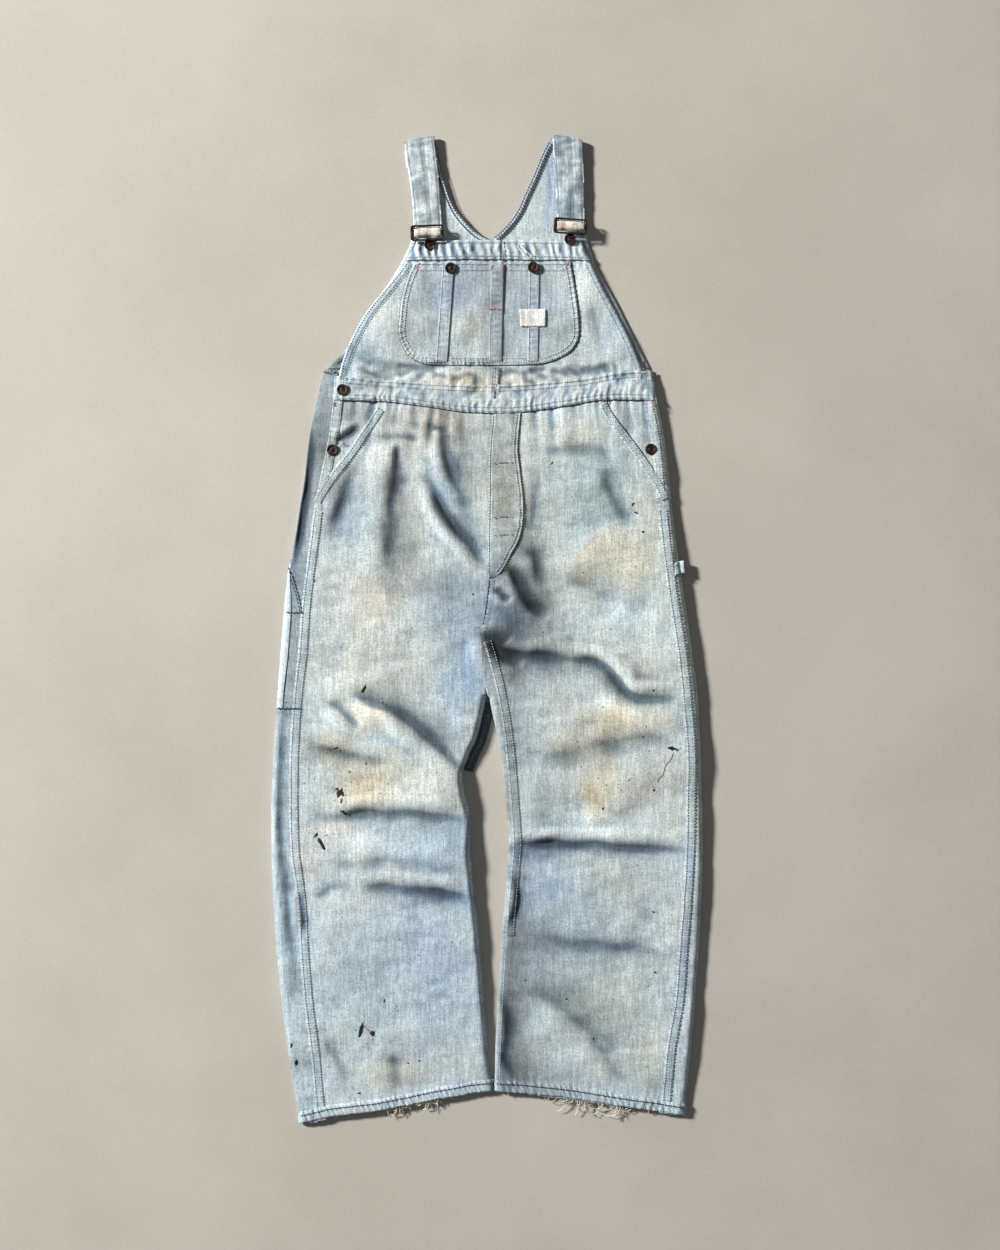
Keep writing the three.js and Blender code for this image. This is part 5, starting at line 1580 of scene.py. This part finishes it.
# ---------------------------------------------------------------- stitching
class Bundle:
    """Many small closed shapes gathered into one piece."""

    def __init__(self):
        self.points, self.faces, self.colours, self.count = [], [], [], 0

    def add(self, points, faces, colour):
        self.points.append(points)
        self.faces.append(np.asarray(faces) + self.count)
        self.colours.append(np.tile(np.asarray(colour, float), (len(points), 1)))
        self.count += len(points)

    def make(self, name, material, slot):
        faces = np.concatenate(self.faces)
        return make(name, np.concatenate(self.points), faces, np.concatenate(self.colours), material)


STITCH_FACES = np.array([
    (0, 1, 2), (0, 2, 3), (4, 6, 5), (4, 7, 6), (0, 4, 5), (0, 5, 1), (1, 5, 6), (1, 6, 2), (2, 6, 7),
    (2, 7, 3), (3, 7, 4), (3, 4, 0),
])
STITCH_FOOT, STITCH_TIP, STITCH_TOP = -0.3, 0.15, 0.47  # heights on a stitch, off the cloth


def sew(bundle, line, length, gap, width, colour, height=body_z, over=0.0, seed=1, missing=0.0):
    """A row of lock stitches along a line, pressed into the cloth at their ends."""
    points, _ = even(line, length + gap)
    ends = points[1:] - points[:-1]
    way = ends / np.maximum(np.hypot(ends[:, 0], ends[:, 1]), 1e-6)[:, None]
    side = np.stack([-way[:, 1], way[:, 0]], axis=1) * width / 2
    start, end = points[:-1] + way * gap / 2, points[1:] - way * gap / 2
    middle = (start + end) / 2
    rng = np.random.RandomState(seed)
    keep = rng.uniform(0, 1, len(middle)) >= missing
    za, zm, zb = (height(p[:, 0], p[:, 1]) + over for p in (start, middle, end))
    for k in np.flatnonzero(keep):
        (ax, ay), (mx, my), (bx, by), (wx, wy) = start[k], middle[k], end[k], side[k]
        rim = [(ax, ay, za[k]), (mx - wx, my - wy, zm[k]), (bx, by, zb[k]), (mx + wx, my + wy, zm[k])]
        tops = (STITCH_TIP, STITCH_TOP, STITCH_TIP, STITCH_TOP)
        shape = [(x, y, z + STITCH_FOOT) for x, y, z in rim]
        shape += [(x, y, z + top) for (x, y, z), top in zip(rim, tops)]
        bundle.add(np.array(shape), STITCH_FACES, np.array(colour) * rng.uniform(0.85, 1.15))


NAVY_THREAD = (40, 50, 78)
PALE_THREAD = (222, 226, 226)
BLUE_THREAD = (110, 132, 166)
PINK_THREAD = (206, 96, 120)
# the dark line outside the bib pocket: painted shade, partly dark thread
GREY_THREAD_AND_SHADE = (64, 78, 104)


def row_above(line, low, high, above, count):
    """A row of points from one x to another, that far above a line which runs in x."""
    x = np.linspace(low, high, count)
    return np.stack([x, np.interp(x, *line.T) + above], axis=1)


def within(line, low, high):
    """The part of a line between two x."""
    return line[(line[:, 0] > low) & (line[:, 0] < high)]


def leg_stitching():
    rows = Bundle()
    for line, side, low, high in (
        (outseam_left, -1, -630, 160), (outseam_right, 1, -622, 160), (inseam_right, -1, -400, -14),
    ):
        for place in (2.2, 10.4):
            seam = offset(between(line, low, high), side * place)
            sew(rows, seam, 2.6, 1.0, 0.75, PALE_THREAD, over=1.05, seed=int(place))
    sew(rows, offset(between(inseam_right, -599, -400), -2.4), 2.6, 1.2, 0.7, PALE_THREAD, over=0.1, seed=3)
    sew(rows, offset(between(outseam_right, -622, 100), -0.9), 5.0, 0.4, 0.8, NAVY_THREAD, over=-0.05, seed=4)
    for line, low, high in ((hem_left, -242, 7), (hem_right, 12, 255)):
        row = row_above(line, low, high, 10.2, 60)
        row[:, 1] += 0.6 * noise(row[:, 0], 0 * row[:, 0], 20, 20, 161)
        sew(rows, row, 3.2, 0.5, 1.8, NAVY_THREAD, over=2.1, height=hem_height, seed=5)
    sew(rows, between(centre_front, 70, 280) + (-1.6, 0), 3.2, 0.6, 1.1, PALE_THREAD, over=0.3, seed=6)
    sew(rows, between(centre_front, 4, 280) + (0.2, 0), 4.0, 0.3, 0.9, NAVY_THREAD, over=0.2, seed=7)
    fly_line = between(fly_edge, 70, 278)
    sew(rows, offset(fly_line, 1.4), 3.0, 0.6, 1.1, PALE_THREAD, over=1.6, seed=8)
    sew(rows, offset(fly_line, 5.6), 2.6, 0.8, 0.8, PALE_THREAD, over=1.6, seed=9)
    for y in (213, 143, 120):
        row = np.stack([np.linspace(9, 40, 12), y + np.sin(np.linspace(0, 3, 12)) * 1.6], axis=1)
        sew(rows, row, 2.6, 0.5, 1.2, NAVY_THREAD, over=2.0, seed=10, missing=0.2)
    # Dark lines along the edges of the waist's corner and the rule pocket: painted shade under the edges,
    # partly dark thread.
    for row in (
        [(-213, 334), (-206, 331), (-199, 335)], [(-257, 80), (-252, 60), (-246, 42), (-241, 21)],
        [(-260, 21), (-238, 21)], [(-272, -103), (-240, -103)],
    ):
        sew(rows, smooth(row, 20), 5.0, 0.1, 2.0, NAVY, over=1.7, seed=30)
    for slant, side in ((slant_left, -1), (slant_right, 1)):
        for place in (1.8, 9.0):
            sew(rows, offset(slant[::-1], side * place), 2.4, 1.0, 0.7, PALE_THREAD, over=1.15, seed=11)
    for outseam, side in ((outseam_left, -1), (outseam_right, 1)):
        for place in (2.4, 10.5):
            row = offset(between(outseam, 170, 300), side * place)
            sew(rows, row, 2.6, 1.0, 0.7, PALE_THREAD, over=0.5, seed=12)
    # A zig-zag below the fly.
    y = np.linspace(62, 18, 30)
    zig = np.stack([x_at(centre_front, y) + 1.8 * np.where(np.arange(30) % 2, 1, -1), y], axis=1)
    sew(rows, zig, 2.6, 0.3, 0.9, NAVY_THREAD, over=0.5, seed=13)
    rows.make("leg_stitching", THREAD, "leg_denim")


def bib_stitching():
    rows = Bundle()
    for line, side in ((bib_left, -1), (bib_right, 1)):
        for place in (2.0, 8.2):
            row = offset(between(line, 325, 478), side * place)
            sew(rows, row, 2.4, 1.0, 0.7, BLUE_THREAD, over=1.2, seed=17)
    for place in (-5.0, 5.0):
        sew(rows, offset(between(bib_centre, 314, 341), place), 2.4, 0.8, 0.7, NAVY_THREAD, over=1.0, seed=18)
    sew(rows, between(bib_centre, 282, 341) + (-0.6, 0), 5, 0.2, 1.4, NAVY, over=3.2, seed=19)
    sew(rows, between(bib_centre, 478, 503) + (0.5, 0), 5, 0.2, 1.8, NAVY, over=4.6, seed=20)
    for below in (3.0, 20.5):
        row = row_above(bib_top, -95 - below * 0.4, 124 + below * 0.4, -below, 120)
        sew(rows, row, 2.4, 1.0, 0.75, BLUE_THREAD, over=2.9, seed=21)
    rows.make("bib_stitching", THREAD, "bib_denim")


def waist_stitching():
    rows = Bundle()
    for above in (2.2, 6.8):
        sew(rows, within(band_bottom + (0, above), -196, 214), 2.5, 1.0, 0.75, BLUE_THREAD, over=2.5, seed=14)
    for below in (2.2, 7.6):
        sew(rows, within(band_top - (0, below), -192, 204), 2.5, 1.0, 0.75, BLUE_THREAD, over=2.5, seed=15)
    # A dark line just below the waistband: painted shade under its edge, partly dark thread.
    sew(rows, within(band_bottom - (0, 0.9), -196, 214), 4.0, 0.3, 0.8, NAVY_THREAD, over=0.2, seed=16)
    rows.make("waist_stitching", THREAD, "trim_denim")


# Rows up the sides of the pocket's strips: x at the foot, x at the top, colour and width.
STRIP_ROWS = [
    (-51.5, -42.5, NAVY_THREAD, 0.95), (-65, -56, BLUE_THREAD, 0.7), (3.6, 5.6, BLUE_THREAD, 0.7),
    (18.5, 21.4, BLUE_THREAD, 0.8), (53.6, 55.6, PALE_THREAD, 0.8), (65.4, 67.4, BLUE_THREAD, 0.7),
]
# Bar tacks: x, y, length, turn in degrees, height over the cloth.
BAR_TACKS = [
    (-89, 470, 8, 60, 1.8), (6, 467, 8, 80, 3.3), (21, 466, 8, 80, 3.3), (105, 474, 9, 70, 1.8),
    (5, 413, 7, 5, 3.3), (17, 413, 8, 5, 3.3), (10, 414, 6, 0, 3.3), (-147, 297, 8, 80, 3.3),
    (152, 297, 8, 60, 3.3), (-200, 291, 6, 80, 2.2), (214, 291, 6, 80, 2.2),
]


def pocket_stitching():
    rows = Bundle()
    border = np.vstack([between(pocket_left, 343, 473)[::-1], between(pocket_right, 343, 473)])
    for place in (2.0, 7.0):
        sew(rows, offset(border, place), 2.4, 1.0, 0.75, PALE_THREAD, height=pocket_top, over=0.5, seed=22)
    # A dark line just outside the pocket: painted shade under its edge, partly dark thread.
    sew(rows, offset(border, -0.7), 5.0, 0.3, 1.3, GREY_THREAD_AND_SHADE, over=0.3, seed=23)
    for y in (471.5, 463.5):
        row = np.stack([np.linspace(-92, 107, 60), np.full(60, y)], axis=1)
        sew(rows, row, 2.4, 1.0, 0.7, BLUE_THREAD, height=pocket_top, over=0.6, seed=24)
    for foot, head, colour, width in STRIP_ROWS:
        row = mix(np.array((foot, 346.0)), np.array((head, 471.0)), np.linspace(0, 1, 40)[:, None])
        sew(rows, row, 2.5, 0.8, width, colour, height=pocket_top, over=0.95, seed=25)
    for x, y, size, turn, over in BAR_TACKS:
        reach_x, reach_y = math.cos(math.radians(turn)) * size / 2, math.sin(math.radians(turn)) * size / 2
        for shift in (-0.5, 0.5):
            row = np.array([(x - reach_x + shift, y - reach_y), (x + reach_x + shift, y + reach_y)])
            sew(rows, row, 1.6, 0.3, 1.0, PINK_THREAD, over=over, seed=26)
    rows.make("pocket_stitching", THREAD, "pocket_denim")


def neck_stitching():
    rows = Bundle()
    for line, side in ((neck_left, 1), (neck_right, -1)):
        for place, colour in ((0.8, NAVY_THREAD), (3.6, PALE_THREAD), (6.2, NAVY_THREAD)):
            row = offset(between(line, 507, 632), side * place)
            sew(rows, row, 3.4, 0.5, 1.0, colour, height=back_z, over=1.5, seed=27)
    for line, side in ((armhole_left, -1), (armhole_right, 1)):
        row = offset(between(line, 348, 625), side * 5.6)
        sew(rows, row, 2.4, 0.9, 0.7, BLUE_THREAD, height=back_z, over=1.0, seed=28)
    rows.make("neck_stitching", THREAD, "inside_denim")


leg_stitching()
bib_stitching()
waist_stitching()
pocket_stitching()
neck_stitching()


# ---------------------------------------------------------------- paint, loose threads and frayed hems
# Flecks of dark paint: x, y, half length, half width, turn in degrees.
FLECKS = [
    (-196, -155, 4, 1.2, 10), (-203, -157, 1.5, 1.0, 0), (-190, -158, 1.2, 0.8, 0),
    (-177, -185, 1.6, 1.1, 0), (-156, -175, 1.6, 1.0, 0), (-190, -212, 5.6, 4.4, 60),
    (-194, -207, 2.2, 1.4, 0), (-186, -215, 2.4, 1.6, 80), (-188, -223, 3.2, 1.2, 70),
    (-184, -239, 4.0, 1.6, -30), (-187, -236, 2.0, 1.2, 0), (-178, -241, 1.4, 1.0, 0),
    (-221, -267, 4.0, 1.7, 55), (-214, -278, 8.0, 2.7, -55), (-207, -267, 1.0, 0.8, 0),
    (-159, -78, 6.0, 1.8, 62), (-135, -96, 1.6, 0.9, 80), (-133, -482, 2.8, 1.1, 80),
    (-163, -519, 8.6, 3.0, 80), (-148, -524, 3.4, 3.0, 0), (-253, -539, 3.4, 1.6, 80),
    (-247, -562, 4.4, 2.2, 80), (-270, -78, 3.2, 1.0, 0), (239, -155, 6.0, 2.4, -10),
    (246, -157, 2.2, 1.2, 0), (216, -209, 1.9, 1.3, 0), (202, -140, 1.5, 1.2, 0), (138, -532, 2.2, 1.1, 80),
    (218, -445, 1.7, 1.2, 0), (216, -367, 1.5, 1.2, 0), (-102, -563, 1.8, 1.1, 0), (-88, -560, 1.6, 1.0, 0),
    (-165, -602, 2.0, 1.4, 0), (-113, -402, 1.2, 0.8, 0), (103, -480, 1.7, 1.1, 30),
    (189, 161, 3.0, 1.4, 55), (193, 150, 3.0, 1.2, -30), (202, 125, 2.2, 1.1, 0), (84, 214, 2.2, 1.0, 60),
    (-18, 44, 1.4, 1.2, 0), (-223, 62, 1.6, 1.0, 0), (33, 357, 2.4, 1.8, 70), (-130, -98, 1.0, 0.8, 0),
    (-60, -250, 1.0, 0.8, 0), (150, -233, 2.4, 1.0, 80), (50, -455, 1.6, 1.0, 0), (215, -80, 1.6, 1.1, 0),
    (-170, -520, 1.2, 0.8, 0),
]


def fleck(bundle, x, y, length, width, turn, rng, colour):
    """A flat, uneven drop of dried paint on the cloth."""
    sides = 16
    turns = np.linspace(0, 2 * np.pi, sides, endpoint=False)
    ragged = 1 + 0.22 * rng.uniform(-1, 1, sides)
    ragged = ragged + 0.16 * np.sin(turns * rng.randint(2, 5) + rng.uniform(0, 6))
    a = math.radians(turn)
    u, v = length * ragged * np.cos(turns), width * ragged * np.sin(turns)
    px = x + u * math.cos(a) - v * math.sin(a)
    py = y + u * math.sin(a) + v * math.cos(a)
    edge = np.column_stack([px, py, body_z(px, py) + 0.06])
    inner = np.column_stack([x + (px - x) * 0.7, y + (py - y) * 0.7, 0 * px])
    inner[:, 2] = body_z(inner[:, 0], inner[:, 1]) + 0.28
    centre = [[x, y, float(body_z(x, y)) + 0.32]]
    under = np.column_stack([px, py, edge[:, 2] - 0.6])
    faces = []
    for j in range(sides):
        k = (j + 1) % sides
        for low in (0, sides):
            faces += [(low + j, low + k, low + sides + k), (low + j, low + sides + k, low + sides + j)]
        faces.append((2 * sides + j, 2 * sides + k, 3 * sides))
    bundle.add(np.concatenate([under, edge, inner, centre]), faces, colour)


def on_a_leg(x, y):
    on_left = x_at(outer_left, y) + 4 < x < x_at(inner_left, y) - 4
    return on_left or x_at(inner_right, y) + 4 < x < x_at(outer_right, y) - 4


def drops(bundle, rng):
    """The larger flecks, each with a few specks thrown off round it."""
    for x, y, length, width, turn in FLECKS:
        dark = np.array((30, 22, 20)) * rng.uniform(0.8, 1.3)
        fleck(bundle, x, y, length, width, turn, rng, dark)
        for _ in range(int(length * 1.2)):
            away = rng.uniform(1.2, 2.6) * length
            a = rng.uniform(0, 2 * math.pi)
            size = rng.uniform(0.25, 0.6)
            fleck(bundle, x + away * math.cos(a), y + away * math.sin(a), size, size, 0, rng, dark)


def runs(bundle, rng):
    """The thin run between two drops on the left shin, and a dry squiggle on the right knee."""
    for points in (
        [(-162, -512), (-158, -515), (-154, -519), (-149, -523)],
        [(241, -161), (237, -170), (232, -176), (229, -184), (227, -190), (223, -193), (221, -198)],
    ):
        line, _ = even(smooth(points, 40), 0.7)
        for x, y in line:
            fleck(bundle, x, y, 0.55, 0.4, 50, rng, (64, 54, 50))


# Fine spray: x, y, spread across, spread along, count.
SPRAYS = [
    (-170, -190, 60, 70, 60), (160, -170, 80, 90, 90), (100, -40, 120, 60, 40), (-120, 60, 90, 90, 36),
    (-140, -500, 80, 90, 36), (150, -450, 90, 120, 44), (120, 120, 80, 90, 30), (0, 400, 100, 60, 14),
    (-258, -300, 12, 260, 14),
]


def spray(bundle, rng):
    """Fine specks all over, most of them near the knees."""
    for cx, cy, rx, ry, count in SPRAYS:
        for _ in range(count):
            x, y = cx + rx * rng.normal() * 0.7, cy + ry * rng.normal() * 0.7
            if y < -600 or not on_a_leg(x, y):
                continue
            size = 0.28 + 0.5 * rng.uniform() ** 3
            long, turn = size * rng.uniform(1, 1.8), rng.uniform(0, 180)
            tone = rng.uniform(0.7, 1.5)
            fleck(bundle, x, y, long, size, turn, rng, np.array((58, 46, 42)) * tone)


def paint():
    bundle = Bundle()
    rng = np.random.RandomState(7)
    drops(bundle, rng)
    runs(bundle, rng)
    spray(bundle, rng)
    bundle.make("paint_flecks", PAINT, "leg_denim")


def thread(bundle, points, radius, colour):
    """A thin yarn along points, three-sided, with closed ends."""
    p = np.array(points, float)
    along = np.gradient(p, axis=0)
    along /= np.maximum(np.linalg.norm(along, axis=1, keepdims=True), 1e-6)
    side = np.cross(along, (0, 0, 1.0))
    side /= np.maximum(np.linalg.norm(side, axis=1, keepdims=True), 1e-6)
    up = np.cross(side, along)
    rings = []
    for turn in (math.pi / 2, math.pi * 7 / 6, math.pi * 11 / 6):
        rings.append(p + radius * (side * math.cos(turn) + up * math.sin(turn)))
    n = len(p)
    faces = [(0, 2, 1), (3 * n - 3, 3 * n - 2, 3 * n - 1)]
    for a, b, c, d in loop_faces(n - 1, 3).tolist():
        faces += [(a, b, c), (a, c, d)]
    bundle.add(np.stack(rings, axis=1).reshape(-1, 3), faces, colour)


def frayed_hems(rng):
    """Warp ends hanging off the hems, curled, most of them where each hem is worn through."""
    bundle = Bundle()
    for line, low, high, count, reach in (
        (hem_left, -130, -56, 34, 7), (hem_left, -235, 0, 24, 3), (hem_right, 88, 178, 34, 13),
        (hem_right, 20, 250, 26, 3),
    ):
        for _ in range(count):
            x = rng.uniform(low, high)
            y = float(np.interp(x, *line.T))
            length = reach * rng.uniform(0.5, 1.8)
            turn, curl = math.radians(rng.uniform(-150, -30)), rng.uniform(-0.5, 0.5)
            points = [(x, y + 2.5, 8.0), (x, y - 0.8, 6.0)]
            px, py = x, y - 0.6
            for k in range(8):
                px += math.cos(turn) * length / 6
                py += math.sin(turn) * length / 6
                turn += curl
                points.append((px, max(py, -643), max(5.4 - 0.3 * (k + 1), 2.0) + 0.5 * rng.uniform()))
            thread(bundle, points, 0.4, np.array((236, 231, 218)) * rng.uniform(0.85, 1.05))
    bundle.make("frayed_hem_threads", THREAD, "trim_denim")


# The white thread that lies in a loop on the bib's top hem.
LOOPED_THREAD = [
    (41, 497), (40, 494), (43, 489), (46, 486), (52, 481), (57, 479), (55, 484), (48, 491), (43, 497),
    (40, 498),
]
# Tufts of broken threads: x, y, length.
TUFTS = [
    (197, 326, 8), (200, 330, 9), (206, 322, 7), (190, 322, 5), (-183, 322, 5), (-206, 226, 5), (222, 296, 6),
    (-188, 238, 6),
]


def tuft(bundle, rng, x, y, size):
    """Six short curled threads that spring from one place."""
    for _ in range(6):
        turn = rng.uniform(0, 2 * math.pi)
        points = []
        for k in range(7):
            px, py = x + k * size / 7 * math.cos(turn), y + k * size / 7 * math.sin(turn)
            px = float(np.clip(px, x_at(outer_left, py) + 2, x_at(outer_right, py) - 2))
            points.append((px, py, float(body_z(px, py)) + 2.0 + 0.6 * math.sin(k)))
            turn += rng.uniform(-0.5, 0.5)
        thread(bundle, points, 0.2, (228, 228, 222))


def overlock(bundle, rng):
    """The zig-zag thread over the left inseam's raw edge."""
    count = 54
    y = np.linspace(-180, -112, count)
    sway = 2.6 * np.where(np.arange(count) % 2, 1, -1)
    x = x_at(inner_left, y) + 6 + sway + rng.uniform(-0.8, 0.8, count)
    thread(bundle, np.column_stack([x, y, 0 * x + 3.0]), 0.4, (232, 232, 228))


def loose_threads():
    rng = np.random.RandomState(11)
    frayed_hems(rng)
    bundle = Bundle()
    line = smooth(LOOPED_THREAD, 60)
    thread(bundle, np.column_stack([line, body_z(line[:, 0], line[:, 1]) + 4.8]), 0.5, (240, 240, 234))
    for x, y, size in TUFTS:
        tuft(bundle, rng, x, y, size)
    overlock(bundle, rng)
    bundle.make("loose_threads", THREAD, "bib_denim")


paint()
loose_threads()


# ---------------------------------------------------------------- floor, light and camera, in metres
FLOOR_REACH, FLOOR_LEVEL = 6.0, -0.0006
KEY_PLACE, KEY_SIZE, KEY_POWER, KEY_COLOUR = (-7.1, 3.3, 3.36), 1.0, 1800, (1.0, 0.99, 0.97)
FILL_PLACE, FILL_SIZE, FILL_POWER, FILL_COLOUR = (2.5, -1.5, 3.6), 3.0, 8, (0.97, 0.98, 1.0)
SKY_COLOUR, SKY_STRENGTH = (0.95, 0.97, 1.0, 1), 0.12
CAMERA_PLACE, CAMERA_LENS = (0.0169, 0.0046, 1.9), 42.09


def floor():
    mesh = bpy.data.meshes.new("floor")
    square = ((-1, -1), (1, -1), (1, 1), (-1, 1))
    corners = [(x * FLOOR_REACH, y * FLOOR_REACH, FLOOR_LEVEL) for x, y in square]
    mesh.from_pydata(corners, [], [(0, 1, 2, 3)])
    f = Finish("pale_floor")
    cloud = f.noise((3.0, 3.0, 3.0), 6.0, 0.6)
    speck = f.noise((240, 240, 240), 3.0, 0.7)
    stops = ((0.35, (178, 172, 162)), (0.65, (188, 182, 172)))
    f.paint(f.ramp(cloud, stops), f.ranged(speck, 0.3, 0.7, 0.96, 1.04))
    f.feed("Roughness", f.ranged(cloud, 0.3, 0.7, 0.7, 0.85))
    mesh.materials.append(f.material)
    plane = bpy.data.objects.new("floor", mesh)
    bpy.context.scene.collection.objects.link(plane)


def area_light(name, place, size, power, colour):
    """A round lamp that points at the middle of the garment."""
    light = bpy.data.lights.new(name, "AREA")
    light.shape = "DISK"
    light.size = size
    light.energy = power
    light.color = colour
    lamp = bpy.data.objects.new(name, light)
    lamp.location = place
    lamp.rotation_euler = (-Vector(place)).to_track_quat("-Z", "Y").to_euler()
    bpy.context.scene.collection.objects.link(lamp)


def lights_and_camera():
    scene = bpy.context.scene
    area_light("key", KEY_PLACE, KEY_SIZE, KEY_POWER, KEY_COLOUR)
    area_light("fill", FILL_PLACE, FILL_SIZE, FILL_POWER, FILL_COLOUR)
    scene.world = scene.world or bpy.data.worlds.new("World")
    scene.world.use_nodes = True
    background = scene.world.node_tree.nodes["Background"]
    background.inputs["Color"].default_value = SKY_COLOUR
    background.inputs["Strength"].default_value = SKY_STRENGTH
    scene.view_settings.view_transform = "Standard"
    camera = bpy.data.cameras.new("camera")
    camera.lens, camera.sensor_width = CAMERA_LENS, 36
    body = bpy.data.objects.new("camera", camera)
    body.location = CAMERA_PLACE
    scene.collection.objects.link(body)
    scene.camera = body


floor()
lights_and_camera()
